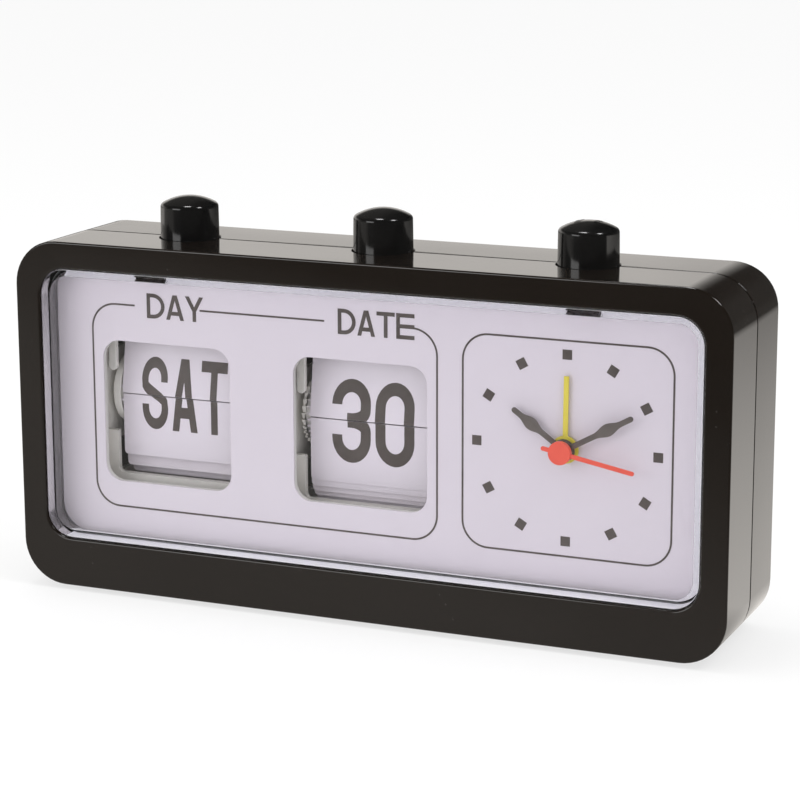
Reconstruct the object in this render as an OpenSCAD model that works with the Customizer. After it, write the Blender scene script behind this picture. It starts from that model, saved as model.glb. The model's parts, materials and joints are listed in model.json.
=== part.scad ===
// Desk clock with a flip-leaf calendar (day and date) and an alarm dial.
// X runs along the width, Y from the front to the back, Z up. The modules are written in the
// case's own frame (y = 0 at the front face, z = 0 at the case's underside); placed() moves
// them so that the origin is on the table, under the middle of the case.

/* [Case] */
// Width of the case
case_w = 180; // [178:0.5:190]
// Height of the case without feet and buttons
case_h = 85.8; // [85:0.2:92]
// Depth of the case
case_d = 38.6; // [38.2:0.2:46]
// Corner radius of the case, seen from the front
corner_r = 11; // [9:0.5:14]
// Wall of both shells
wall = 2; // [1.6:0.1:2.2]
// Depth of the front shell, up to the parting line
part_y = 18.6; // [18.2:0.1:19]
// Gap that shows as the parting line
part_gap = 0.25; // [0.1:0.05:0.4]
// How far the rear shell is set in at the parting line
rear_inset = 0.35; // [0.1:0.05:0.5]
// Height of the feet
foot_h = 1; // [0.6:0.1:3]

/* [Lens] */
// Frame left of and right of the lens
bezel_side = 6.75; // [6.5:0.05:8]
// Frame over the lens
bezel_top = 6.8; // [6.5:0.1:7]
// Frame under the lens
bezel_bottom = 12.3; // [12:0.1:12.6]
// Softened edge of the opening
opening_edge = 0.8; // [0.3:0.1:0.9]
// Outer corner radius of the lens
lens_r = 6.5; // [5:0.5:8]
// Side wall of the lens
lens_wall = 1.7; // [1.2:0.1:2]
// Front plate of the lens
lens_plate = 1.4; // [1:0.1:1.6]
// How far the lens sits behind the bezel face
lens_sink = 0.5; // [0.2:0.1:0.6]

/* [Dial] */
// Depth at which the printed card lies
card_y = 9; // [8.8:0.1:9.2]
// Thickness of the printed card
card_t = 0.4; // [0.2:0.1:0.5]
// Thickness of the moulded dial plate
plate_t = 1.2; // [1:0.1:1.4]
// Width of a calendar window
window_w = 34.4; // [34.2:0.1:36]
// Height of a calendar window
window_h = 35.2; // [34.8:0.1:36]
// Corner radius of a calendar window
window_r = 4.4; // [3.5:0.1:4.5]
// How far the window centres lie under the lens centre
window_drop = 2.35; // [2.1:0.05:2.6]

/* [Calendar] */
// Centre of the weekday unit, from the left side of the case
day_in = 36.1; // [35.8:0.1:36.6]
// Centre of the date unit, right of the middle between the weekday unit and the dial
date_shift = -0.175; // [-0.4:0.025:0.1]
// Height of the weekday seam over the window centre
day_seam_up = 2.6; // [2.2:0.1:2.9]
// Height of the date seam over the window centre
date_seam_up = 1.1; // [0.8:0.1:1.9]
// Number of weekday leaves
day_leaves_n = 14; // [14:14]
// Number of date leaves
date_leaves_n = 31; // [31:31]
// Distance from the drum axis to the back of the case
drum_in = 13.6; // [13.4:0.1:13.7]
// Radius of the circle of leaf ears
ear_r = 7.8; // [7.6:0.1:8]
// Width of a leaf
leaf_w = 33; // [31:0.5:33]
// Thickness of a leaf
leaf_t = 0.25; // [0.15:0.05:0.25]
// Corner radius of a leaf
leaf_corner = 1; // [0.6:0.1:3]
// Travel of the weekday button
day_travel = 3.8; // [3.8:3.8]
// Travel of the date button
date_travel = 1.75; // [1.75:1.75]

/* [Buttons] */
// Radius of a button cap
button_r = 7.2; // [6:0.1:7.4]
// Height of a button over the case
button_h = 10.2; // [8:0.1:12]
// Radius of a button's crown
crown_r = 13; // [11:0.5:24]
// Rounded shoulder of a button
cap_edge = 1.2; // [0.8:0.1:1.6]
// Gap between a button and its hole
button_gap = 0.3; // [0.2:0.05:0.4]
// Travel of the alarm button
alarm_travel = 3; // [2:0.1:3]

/* [Clock] */
// Centre of the dial, from the right side of the case
dial_in = 41.15; // [40.8:0.05:41.5]
// Radius of the circle of hour marks
mark_circle_r = 21.9; // [20:0.1:22.5]
// Side of an hour mark
mark_size = 2.3; // [1.5:0.1:3]
// Length of the minute hand
minute_len = 19.1; // [15:0.1:20]
// Length of the hour hand
hour_len = 15.3; // [10:0.1:16]
// Length of the second hand
second_len = 18; // [14:0.1:20]
// Length of the alarm hand
alarm_len = 17.1; // [12:0.1:18]
// Width of the minute and hour hands' arms
arm_w = 1.3; // [0.9:0.1:1.6]
// Width of the second hand
second_w = 1.05; // [0.7:0.05:1.4]
// Width of the alarm hand
alarm_w = 1.2; // [0.8:0.1:1.6]
// Half the side of the square movement
move_half = 22; // [22:0.1:22.2]

/* [Battery] */
// Diameter of an AA cell
cell_d = 14.5; // [14.5:14.5]
// Length of an AA cell
cell_len = 50.5; // [50.5:50.5]

/* [Hidden] */
$fn = 48;

run = 0.07;             // radial running clearance of a shaft in its bore
slip = 0.3;             // gap between parts that pass each other
edge = 0.5;             // softened front edge of the case
front_wall = 2.2;
half_h = case_h / 2;
foot_x = 55;
foot_y = [5.5, case_d - 7];
foot_size = [7, 4, 1.5];    // width, depth, corner radius

// lens and bezel
lens_w = case_w - 2 * bezel_side;
lens_h = case_h - bezel_top - bezel_bottom;
lens_z = bezel_bottom + lens_h / 2;
lens_back = card_y;
lens_inner_y = lens_sink + lens_plate;
opening_gap = 0.15;
collar_t = 1.6;
collar_end = 7.4;
flange_out = 2.6;
tab_x = 54.5;
tab_w = 8;
tab_y = [3.2, 5.2];

// dial plate
plate_y = card_y + card_t;
plate_back = plate_y + plate_t;
plate_w = case_w - 2 * wall - 2.8;
plate_h = case_h - 2 * wall - 2.2;
post_end = 16.6;        // the posts behind the plate end here
lug_t = 1.4;
post_r = 2.3;
lug_r = 3;
hook_x = [-27, 24.5];

// places of the two calendar units, their windows and the dial
dial_x = case_w / 2 - dial_in;
day_x = day_in - case_w / 2;
date_x = (day_x + dial_x) / 2 + date_shift;
window_z = lens_z - window_drop;
day_seam = window_z + day_seam_up;
date_seam = window_z + date_seam_up;

// print on the card: thickness, line, corner, edges of the two frames, gaps for the titles
print_t = 0.05;
line_w = 0.45;
line_r = 6.5;
frame_z = [window_z - window_h / 2 - 6.6, window_z + window_h / 2 + 9.25];
calendar_frame_x = [day_x - window_w / 2 - 2.9, date_x + window_w / 2 + 2.75];
clock_frame_x = [dial_x - 25.65, dial_x + 25.55];
day_word_x = [day_x - 8.1, day_x + 9.5];
date_word_x = [date_x - 8.9, date_x + 11.7];

// screws: shank radius, head radius, head height, length
small_screw = [0.9, 1.8, 1.3, 6];
case_screw = [1.2, 2.2, 1.6, 10];
corner_x = case_w / 2 - 7.5;
low_z = 7.2;
high_z = case_h - 7.8;
low_seat = 14.5;
high_seat = 22.5;
plate_screw_x = 40;
plate_screw_z = 6.3;

// buttons
button_x = [-51.85, -0.8, 50.1];
button_y = part_y;
cap_wall = 1.4;
stem_r = 2.5;
shelf_z = case_h - 10.5;
shelf_t = 1.7;
wing_r = button_r + 1.3;
wing_t = 1.8;
ceiling = case_h - rear_inset - wall - 0.3;
wing_z = ceiling - slip - wing_t;
stem_end = shelf_z - 1.3;
yoke_t = 2.2;
spring_r = 4;
spring_wire = 0.3;

// calendar unit, measured from its own centre plane
drum_y = case_d - drum_in;
disc_r = 8.8;
disc_in = leaf_w / 2 + 0.3;
disc_t = 1.9;
disc_out = disc_in + disc_t;
groove_half = 0.65;
groove_deep = 1;
core_r = 3.2;
axle_r = 1;
ratchet_out = disc_out + 1.3;
ratchet_r = 8.6;
tooth_deep = 0.9;
side_in = ratchet_out + 0.4;
side_t = 1.4;
side_out = side_in + side_t;
side_y = [12.5, drum_y + 9.6];
side_z = [window_z - 23.3, case_h - 15.3];
neck_w = 9;             // depth of a side wall over the drum
side_corner = 1.5;
rear_y = side_y[1] - 1.2;
pillar_y = [drum_y - 9, drum_y - 7.6];
pillar_in = 0.7;        // gap between a pillar and the edge of the leaves, past the drum's
ledge_y = [drum_y - 9, drum_y - 7];
ledge_fillet = 1.4;
leaf_reach = 15.5;      // from the seam to a leaf's tip
last_lean = 12;
ear_h = 0.5;
flap_shift = 0.25;      // the showing leaf stands this far before the others
seam_gap = 0.15;
boss_out = side_out + 2.4;
short_leg_w = 2.1;
leg_y = [drum_y - 10.4, drum_y - 9];
pusher_y = [drum_y - 10.1, drum_y - 9.1];
hook_tip_y = drum_y - 7.9;

// movement, measured from the dial centre
mv_y = [13, 20, 29.5];
mv_wall = 1.4;
mv_ear = [24.6, 11];
bush_r = 2.9;
second_r = 0.45;
minute_r = 0.95;
hour_r = 1.6;
alarm_r = 2.3;
arbor_r = 0.6;
small_m = 0.2;          // module of the seconds train
large_m = 0.4;          // module of the motion work
wheel_t = 0.8;
second_teeth = 60;
fifth_teeth = 50;
pinion_teeth = 10;
minute_teeth = 10;
motion_teeth = 30;
motion_pinion_teeth = 8;
hour_teeth = 32;
alarm_teeth = 34;
// planes of the wheels, front to back
alarm_wheel_y = 15;
hour_wheel_y = 16.4;
minute_wheel_y = 17.8;
second_wheel_y = 20.8;
fifth_wheel_y = 22.6;
arbor_end = 26;
// hands: front face of each blade
alarm_hand_y = 7.95;
hour_hand_y = 6.95;
minute_hand_y = 5.95;
second_hand_y = 4.3;
hand_t = 0.4;
hub_r = 2.65;
alarm_hub_r = 3.25;
collar_r = 1.75;        // raised collar round the minute hand's hole
second_hub = [2.7, 0.4, 0.9];   // radius, and how far it stands before and behind the hand
second_tail = 4.6;
// widened part of a blade: middle, length, width
minute_bulge = [12.3, 7, 2.9];
hour_bulge = [9.7, 6.4, 3];
// readings, in degrees clockwise from twelve
minute_at = 61;
hour_at = 305;
second_at = 100.4;
alarm_at = 0.6;

// knobs
knob_r = 6.5;
knob_recess_deep = (case_d - mv_y[2]) / 2;
knob_finger = 4.5;
knob_shaft_r = 1.6;
alarm_dir = 45;
alarm_dist = (alarm_teeth + pinion_teeth) * large_m / 2;
motion_dist = (minute_teeth + motion_teeth) * large_m / 2;
knob_up = alarm_dist * sin(alarm_dir);
motion_dir = 180 - asin(knob_up / (2 * motion_dist));
alarm_knob_at = [alarm_dist * cos(alarm_dir), knob_up];
motion_at = motion_dist * [cos(motion_dir), sin(motion_dir)];
time_knob_at = 2 * motion_at;
fifth_dir = -60;
fifth_at = (second_teeth + pinion_teeth) * small_m / 2 * [cos(fifth_dir), sin(fifth_dir)];
rotor_dir = -170;
rotor_at = fifth_at + (fifth_teeth + pinion_teeth) * small_m / 2
    * [cos(rotor_dir), sin(rotor_dir)];

// battery bay
bay_x = [case_w / 2 - 68, case_w / 2 - 12.8];
bay_z = [5.6, 20.8];
bay_floor = case_d - 18.8;
bay_wall = 1.4;
dial_z = bay_z[1] + bay_wall + 0.6 + move_half;
door_t = 1.6;
door_gap = 0.2;
cell_y = bay_floor + cell_d / 2 + 0.2;
cell_z = (bay_z[0] + bay_z[1]) / 2;
contact_t = 0.6;
cell_end = bay_x[1] - contact_t;
buzzer_at = [case_w / 2 - 10.2, 30];
buzzer_r = 6.6;
buzzer_t = 4;

// circuit board, coil and stator, measured from the dial centre
board_x = [-16, 18];
board_z = [-20, -12.6];
coil_at = [1, -17];     // across, up
coil_y = 22.6;
coil_r = 3.2;
coil_half = 10;
core_t = 1;
stator_y = [24.4, 25.2];
rotor_r = 2.2;

// ---------------------------------------------------------------- shared shapes

module placed() {
    translate([0, -case_d / 2, foot_h]) children();
}

// rounded rectangle about the origin
module rounded(w, h, r) {
    square([w, h - 2 * r], center = true);
    square([w - 2 * r, h], center = true);
    for (sx = [-1, 1], sy = [-1, 1])
        translate([sx * (w / 2 - r), sy * (h / 2 - r)]) circle(r);
}

// a flat outline stood up in the XZ plane, from y0 to y1
module stood(y0, y1) {
    translate([0, y1, 0]) rotate([90, 0, 0]) linear_extrude(y1 - y0) children();
}

module slab(w, h, r, y0, y1, x = 0, z = half_h) {
    stood(y0, y1) translate([x, z]) rounded(w, h, r);
}

module block(x, y, z) {
    translate([x[0], y[0], z[0]]) cube([x[1] - x[0], y[1] - y[0], z[1] - z[0]]);
}

module rod_y(x, z, r, y0, y1) {
    translate([x, y1, z]) rotate([90, 0, 0]) cylinder(r = r, h = y1 - y0);
}

module rod_x(y, z, r, x0, x1) {
    translate([x0, y, z]) rotate([0, 90, 0]) cylinder(r = r, h = x1 - x0);
}

module rod_z(x, y, r, z0, z1) {
    translate([x, y, z0]) cylinder(r = r, h = z1 - z0);
}

// screw driven towards the front, with its head's underside at seat
module screw(x, z, seat, size) {
    rod_y(x, z, size[0], seat - size[3], seat);
    difference() {
        rod_y(x, z, size[1], seat, seat + size[2]);
        for (turn = [0, 90])
            translate([x, seat + size[2], z]) rotate([0, turn, 0])
                cube([2.4 * size[0], size[2], 0.5 * size[0]], center = true);
    }
}

// outline of a wheel whose teeth are flat-sided; turned so that a tooth lies at angle "turn"
function gear_points(teeth, m, turn = 0) =
    let (r = teeth * m / 2, pitch = 360 / teeth)
    [for (i = [0 : teeth - 1])
        for (p = [[-0.30, -1.0], [-0.11, 0.7], [0.11, 0.7], [0.30, -1.0]])
            let (a = turn + (i + p[0]) * pitch, q = r + p[1] * m)
            [q * cos(a), q * sin(a)]];

// turn that puts wheel B in mesh with wheel A, seen from A in direction dir
function mesh_turn(teeth_a, turn_a, dir, teeth_b) =
    dir + 180 + ((dir - turn_a) * teeth_a / 360 - 0.5) * 360 / teeth_b;

module gear(teeth, m, y, t, turn = 0) {
    stood(y, y + t) polygon(gear_points(teeth, m, turn));
}

// helical wire about the Z axis, rising from z = 0
module helix(r, rise, turns, wire, sides = 6, steps = 14) {
    count = turns * steps;
    slope = rise / turns / (2 * PI * r);
    lean = atan(slope);
    rings = [for (i = [0 : count])
        let (a = i * 360 / steps)
        [for (j = [0 : sides - 1])
            let (b = j * 360 / sides, out = r + wire * cos(b), up = wire * sin(b))
            [out * cos(a) + up * sin(lean) * sin(a),
             out * sin(a) - up * sin(lean) * cos(a),
             rise * i / count + up * cos(lean)]]];
    points = [for (ring = rings) for (p = ring) p];
    walls = [for (i = [0 : count - 1]) for (j = [0 : sides - 1])
        let (k = (j + 1) % sides)
        for (f = [[i * sides + j, i * sides + k, (i + 1) * sides + k],
                  [i * sides + j, (i + 1) * sides + k, (i + 1) * sides + j]]) f];
    first = [[for (j = [sides - 1 : -1 : 0]) j]];
    last = [[for (j = [0 : sides - 1]) count * sides + j]];
    polyhedron(points, concat(walls, first, last), convexity = 8);
}

// ---------------------------------------------------------------- case

module bezel_outside() {
    hull() {
        slab(case_w - 2 * edge, case_h - 2 * edge, corner_r - edge, 0, 0.01);
        slab(case_w - 0.3 * edge, case_h - 0.3 * edge, corner_r - 0.15 * edge,
             0.4 * edge, 0.4 * edge + 0.01);
        slab(case_w, case_h, corner_r, edge, part_y);
    }
}

// one step of the softened edge of the opening; the sizes are shares of that edge
module opening_flare(wide, narrow, from) {
    to = from == 0 ? 0.3 : 1;
    hull() for (cut = [[wide, from - (from == 0 ? 0.1 : 0)], [narrow, to]]) {
        grow = 2 * (opening_gap + cut[0] * opening_edge);
        slab(lens_w + grow, lens_h + grow, lens_r + grow / 2,
             cut[1] * opening_edge, cut[1] * opening_edge + 0.01, 0, lens_z);
    }
}

module button_hole(x) {
    rod_z(x, button_y, button_r + button_gap, case_h - wall - 1, case_h + 1);
}

module front_bezel() {
    color("#17130f") difference() {
        union() {
            difference() {
                bezel_outside();
                slab(case_w - 2 * wall, case_h - 2 * wall, corner_r - wall,
                     front_wall, part_y + 1);
            }
            // collar around the lens
            slab(lens_w + 2 * (opening_gap + collar_t), lens_h + 2 * (opening_gap + collar_t),
                 lens_r + collar_t, 1, collar_end, 0, lens_z);
            // bosses in front of the dial plate
            for (s = [-1, 1], at = [[corner_x, low_z], [plate_screw_x, plate_screw_z]])
                rod_y(s * at[0], at[1], 2.9, 1, plate_y);
            // bosses at the upper corners, tied to the side walls
            for (s = [-1, 1]) {
                rod_y(s * corner_x, high_z, 3.2, 11.5, part_y - 0.6);
                block(s > 0 ? [corner_x, case_w / 2 - 1] : [1 - case_w / 2, -corner_x],
                      [11.5, part_y - 0.6], [high_z - 1, high_z + 1]);
            }
            // hooks that hold the dial plate's upper edge
            for (x = hook_x) {
                block([x - 4, x + 4], [1, 12.2], [case_h - wall - 1.9, case_h - wall / 2]);
                block([x - 4, x + 4], [plate_back + 0.1, 12.2],
                      [case_h - wall - 2.9, case_h - wall / 2]);
            }
        }
        slab(lens_w + 2 * opening_gap, lens_h + 2 * opening_gap, lens_r + opening_gap,
             -1, collar_end + 1, 0, lens_z);
        opening_flare(1, 0.3, 0);
        opening_flare(0.3, 0, 0.3);
        for (x = button_x) button_hole(x);
        for (s = [-1, 1]) {
            rod_y(s * corner_x, low_z, case_screw[0], low_seat - case_screw[3], plate_y + 1);
            rod_y(s * corner_x, high_z, case_screw[0], high_seat - case_screw[3], part_y + 1);
            rod_y(s * plate_screw_x, plate_screw_z, small_screw[0],
                  plate_back - small_screw[3], plate_y + 1);
        }
    }
    // snap tabs that hold the lens
    color("#17130f") for (s = [-1, 1])
        block([s * tab_x - tab_w / 2, s * tab_x + tab_w / 2], tab_y,
              [lens_z + lens_h / 2 - 0.9, lens_z + lens_h / 2 + 1]);
}

function rear_w(inset) = case_w - 2 * (rear_inset + inset);
function rear_h(inset) = case_h - 2 * (rear_inset + inset);

module knob_recess(grow, y0, y1) {
    mid = (alarm_knob_at[0] + time_knob_at[0]) / 2;
    w = alarm_knob_at[0] - time_knob_at[0] + 2 * (knob_r + knob_finger + grow);
    h = 2 * (knob_r + knob_finger + grow);
    slab(w, h, h / 2 - 0.01, y0, y1, dial_x + mid, dial_z + knob_up);
}

module rear_cover() {
    back = case_d;
    inner_back = back - wall;
    color("#17130f") difference() {
        union() {
            difference() {
                hull() {
                    slab(rear_w(0), rear_h(0), corner_r - rear_inset,
                         part_y + part_gap, part_y + part_gap + 1);
                    slab(rear_w(0.5), rear_h(0.5), corner_r - 1, back - 2.2, back - 2);
                    slab(rear_w(0.9), rear_h(0.9), corner_r - 1.4, back - 0.9, back - 0.8);
                    slab(rear_w(2), rear_h(2), corner_r - 2.6, back - 0.01, back);
                }
                slab(rear_w(wall + 0.3), rear_h(wall + 0.3), corner_r - wall - 0.6,
                     part_y - 5, inner_back);
            }
            // lip that runs inside the front shell, open at the buttons
            difference() {
                slab(case_w - 2 * wall - 0.3, case_h - 2 * wall - 0.3, corner_r - wall - 0.15,
                     part_y - 2.6, part_y + part_gap + 1);
                slab(case_w - 2 * wall - 2.3, case_h - 2 * wall - 2.3, corner_r - wall - 1.15,
                     part_y - 4, part_y + 2);
                for (x = button_x)
                    block([x - wing_r - 1, x + wing_r + 1], [part_y - 4, part_y + 3],
                          [case_h - 12, case_h]);
                for (s = [-1, 1], z = [low_z, high_z])
                    rod_y(s * corner_x, z, 5, part_y - 4, part_y);
            }
            // screw tubes
            for (s = [-1, 1]) {
                rod_y(s * corner_x, low_z, 3.2, plate_back + 0.05, inner_back + 1);
                rod_y(s * corner_x, high_z, 3.2, part_y - 0.55, inner_back + 1);
            }
            // battery bay
            block([bay_x[0] - bay_wall, bay_x[1] + bay_wall],
                  [bay_floor - bay_wall, back - door_t],
                  [bay_z[0] - bay_wall, bay_z[1] + bay_wall]);
            // recess for the knobs
            knob_recess(wall - 0.6, back - knob_recess_deep - 1.4, back - 0.5);
            // ring for the buzzer
            rod_y(buzzer_at[0], buzzer_at[1], buzzer_r + 1.3, inner_back - buzzer_t - 1,
                  inner_back + 1);
        }
        for (x = button_x) button_hole(x);
        for (s = [-1, 1]) {
            rod_y(s * corner_x, low_z, case_screw[0] + 0.2, plate_back, low_seat + 1);
            rod_y(s * corner_x, low_z, case_screw[1] + 0.3, low_seat, back + 1);
            rod_y(s * corner_x, high_z, case_screw[0] + 0.2, part_y - 1, high_seat + 1);
            rod_y(s * corner_x, high_z, case_screw[1] + 0.3, high_seat, back + 1);
        }
        block(bay_x, [bay_floor, back + 1], bay_z);
        block([bay_x[0] - bay_wall, bay_x[1] + bay_wall], [back - door_t, back + 1],
              [bay_z[0] - bay_wall, bay_z[1] + bay_wall]);
        knob_recess(0, back - knob_recess_deep, back + 1);
        for (at = [alarm_knob_at, time_knob_at])
            rod_y(dial_x + at[0], dial_z + at[1], knob_shaft_r + 0.8,
                  back - knob_recess_deep - 2, back);
        rod_y(buzzer_at[0], buzzer_at[1], buzzer_r + 0.1, inner_back - buzzer_t - 2, inner_back);
        for (turn = [0 : 60 : 300])
            rod_y(buzzer_at[0] + 3.4 * cos(turn), buzzer_at[1] + 3.4 * sin(turn), 0.9,
                  inner_back - 1, back + 1);
    }
}

module feet() {
    color("#201c19") for (s = [-1, 1], y = foot_y)
        translate([s * foot_x, y, -foot_h]) linear_extrude(foot_h)
            rounded(foot_size[0], foot_size[1], foot_size[2]);
}

module case_screws() {
    color("silver") for (s = [-1, 1]) {
        screw(s * corner_x, low_z, low_seat, case_screw);
        screw(s * corner_x, high_z, high_seat, case_screw);
    }
}

// ---------------------------------------------------------------- lens and dial

module lens() {
    color("#dfe6ef", 0.3) difference() {
        union() {
            slab(lens_w, lens_h, lens_r, lens_sink, lens_back, 0, lens_z);
            slab(lens_w + 2 * flange_out, lens_h + 2 * flange_out, lens_r + flange_out,
                 collar_end, lens_back, 0, lens_z);
        }
        slab(lens_w - 2 * lens_wall, lens_h - 2 * lens_wall, lens_r - lens_wall,
             lens_inner_y, lens_back + 1, 0, lens_z);
        for (s = [-1, 1])
            block([s * tab_x - tab_w / 2 - 0.2, s * tab_x + tab_w / 2 + 0.2],
                  [tab_y[0] - 0.2, tab_y[1] + 0.2],
                  [lens_z + lens_h / 2 - 1.1, lens_z + lens_h / 2 + 1]);
    }
}

module windows(y0, y1) {
    for (x = [day_x, date_x])
        slab(window_w, window_h, window_r, y0, y1, x, window_z);
}

module dial_card() {
    color("#dcd5e2") difference() {
        slab(lens_w + 2 * flange_out - 0.6, lens_h + 2 * flange_out - 0.6, lens_r + 2,
             card_y, plate_y, 0, lens_z);
        windows(0, 20);
        rod_y(dial_x, dial_z, bush_r + 0.1, 0, 20);
    }
}

module line_frame(x) {
    w = x[1] - x[0];
    h = frame_z[1] - frame_z[0];
    translate([(x[0] + x[1]) / 2, (frame_z[0] + frame_z[1]) / 2]) difference() {
        rounded(w, h, line_r);
        rounded(w - 2 * line_w, h - 2 * line_w, line_r - line_w);
    }
}

module dial_print() {
    color("#4a423c") stood(card_y - print_t, card_y) {
        difference() {
            line_frame(calendar_frame_x);
            for (x = [day_word_x, date_word_x])
                translate([x[0], frame_z[1] - 3]) square([x[1] - x[0], 6]);
        }
        line_frame(clock_frame_x);
        for (hour = [0 : 11])
            translate([dial_x, dial_z]) rotate(30 * hour) translate([0, mark_circle_r])
                square(mark_size, center = true);
    }
}

post_z = [window_z - 15.3, window_z + 18.7];
function calendar_posts() = [
    [day_x - boss_out, post_z[0]], [day_x - boss_out, post_z[1]], [day_x + boss_out, post_z[0]],
    [date_x - boss_out, post_z[1]], [date_x + boss_out, post_z[0]],
    [date_x + boss_out, post_z[1]]];
function movement_posts() = [for (sx = [-1, 1], sz = [-1, 1])
    [dial_x + sx * mv_ear[0], dial_z + sz * mv_ear[1]]];

module dial_plate() {
    color("#f1eee4") difference() {
        union() {
            slab(plate_w, plate_h, corner_r - wall - 2, plate_y, plate_back);
            for (p = concat(calendar_posts(), movement_posts()))
                rod_y(p[0], p[1], post_r, plate_y + 0.5, post_end);
            // shelves that guide the buttons
            for (x = button_x) {
                block([x - 8, x + 8], [plate_y + 0.5, button_y + 5.5],
                      [shelf_z, shelf_z + shelf_t]);
                rod_z(x, button_y, stem_r + 1.5, shelf_z - 1.2, shelf_z + shelf_t);
            }
        }
        windows(0, 20);
        rod_y(dial_x, dial_z, bush_r + 0.1, 0, 20);
        for (p = concat(calendar_posts(), movement_posts()))
            rod_y(p[0], p[1], small_screw[0], post_end + lug_t - small_screw[3], post_end + 1);
        for (x = button_x) rod_z(x, button_y, stem_r + run, shelf_z - 3, shelf_z + 5);
        for (s = [-1, 1]) {
            rod_y(s * corner_x, low_z, case_screw[0] + 0.3, 0, 20);
            rod_y(s * plate_screw_x, plate_screw_z, small_screw[0] + 0.2, 0, 20);
        }
        for (x = hook_x)
            block([x - 4.4, x + 4.4], [0, 20], [case_h - wall - 2.1, case_h]);
    }
}

module plate_screws() {
    color("silver") for (s = [-1, 1])
        screw(s * plate_screw_x, plate_screw_z, plate_back, small_screw);
}

// ---------------------------------------------------------------- calendar units

// ear position on the drum, as [y, height over the seam]
function ear_at(turn) = [drum_y - ear_r * cos(turn), ear_r * sin(turn)];
function step(n) = 360 / n;
function root_len(n) = ear_r * sin(step(n) / 2);
function tip_len(n) = leaf_reach - root_len(n);
function first_lean(n) = n > 20 ? 8 : 9;
function lean(n, k) = first_lean(n)
    + (last_lean - first_lean(n)) * k * step(n) / 180;

// one leaf, with its ears on the X axis and its tip up
module leaf(n) {
    root = root_len(n) - seam_gap;
    tip = tip_len(n);
    stood(-leaf_t / 2, leaf_t / 2) {
        translate([-leaf_w / 2, -root]) square([leaf_w, root + tip - leaf_corner]);
        translate([-leaf_w / 2 + leaf_corner, 0]) square([leaf_w - 2 * leaf_corner, tip]);
        for (s = [-1, 1])
            translate([s * (leaf_w / 2 - leaf_corner), tip - leaf_corner]) circle(leaf_corner);
        translate([-leaf_w / 2 - 1, -ear_h / 2]) square([leaf_w + 2, ear_h]);
    }
}

module leaf_pack(n, x, seam) {
    color("#e4dfe8") for (k = [1 : n - 1]) {
        turn = (k + 0.5) * step(n);
        at = ear_at(turn);
        up = turn < 180.5;
        translate([x, at[0], seam + at[1]])
            rotate([up ? -lean(n, k) : 180, 0, 0]) leaf(n);
    }
}

module flap(n, x, seam) {
    at = ear_at(step(n) / 2);
    color("#e4dfe8") translate([x, at[0] - flap_shift, seam + at[1]])
        rotate([-first_lean(n), 0, 0]) leaf(n);
}

// saw teeth whose steep faces look up on the front side
function ratchet_points(n) =
    [for (k = [0 : n - 1])
        let (a = 180 + (k - 0.5) * step(n), low = ratchet_r - tooth_deep)
        for (p = [[low, a - 0.6], [ratchet_r, a]])
            [p[0] * cos(p[1]), p[0] * sin(p[1])]];

// stands a YZ outline about the drum axis, between two distances from the centre plane
module across(x0, x1) {
    translate([x0, 0, 0]) rotate([90, 0, 90]) linear_extrude(x1 - x0) children();
}

module ratchet_ring(n, x, seam, x0, x1, hole) {
    translate([x, drum_y, seam]) difference() {
        across(x0, x1) polygon(ratchet_points(n));
        across(x0 - 1, x1 + 1) circle(hole);
    }
}

module disc(n, x, seam, s, toothed) {
    x0 = s > 0 ? disc_in : -disc_out;
    difference() {
        if (toothed) ratchet_ring(n, x, seam, x0, x0 + disc_t, axle_r + run);
        else rod_x(drum_y, seam, disc_r, x + x0, x + x0 + disc_t);
        rod_x(drum_y, seam, axle_r + run, x + x0 - 1, x + x0 + disc_t + 1);
        difference() {
            g0 = s > 0 ? disc_in - 1 : -disc_in - groove_deep;
            rod_x(drum_y, seam, ear_r + groove_half, x + g0, x + g0 + 1 + groove_deep);
            rod_x(drum_y, seam, ear_r - groove_half, x + g0 - 1, x + g0 + 2 + groove_deep);
        }
    }
}

module drum(n, x, seam, toothed_left) {
    color("#e9e7dc") {
        disc(n, x, seam, -1, toothed_left);
        disc(n, x, seam, 1, false);
        difference() {
            rod_x(drum_y, seam, core_r, x - disc_in, x + disc_in);
            rod_x(drum_y, seam, axle_r + run, x - disc_out, x + disc_out);
        }
    }
}

module ratchet(n, x, seam) {
    color("#e9e7dc") ratchet_ring(n, x, seam, disc_out, ratchet_out, axle_r + run);
}

// side wall in Y and Z: full depth beside the drum, a narrow neck over it, a relief under it
module side_outline(seam) {
    depth = side_y[1] - side_y[0];
    shoulder = seam + 10.5;
    difference() {
        union() {
            translate([side_y[0] + depth / 2, (side_z[0] + shoulder) / 2])
                rounded(depth, shoulder - side_z[0], side_corner);
            translate([side_y[0] + neck_w / 2, (side_z[0] + side_z[1]) / 2])
                rounded(neck_w, side_z[1] - side_z[0], side_corner);
        }
        translate([drum_y + 0.8, (side_z[0] + seam) / 2 - 4])
            rounded(depth / 2, (seam - side_z[0]) / 3, 2 * side_corner);
    }
}

// pillar beside the lower leaves, running into the ledge with a fillet
module pillar(x0, x1, seam, towards) {
    top = seam - 20.1;
    block([x0, x1], pillar_y, [side_z[0], seam - 9.4]);
    stood(pillar_y[0], pillar_y[1]) translate([towards > 0 ? x1 : x0, top])
        mirror([towards > 0 ? 0 : 1, 0]) difference() {
            translate([-0.1, -0.1]) square(ledge_fillet + 0.1);
            translate([ledge_fillet, ledge_fillet]) circle(ledge_fillet);
        }
}

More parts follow.
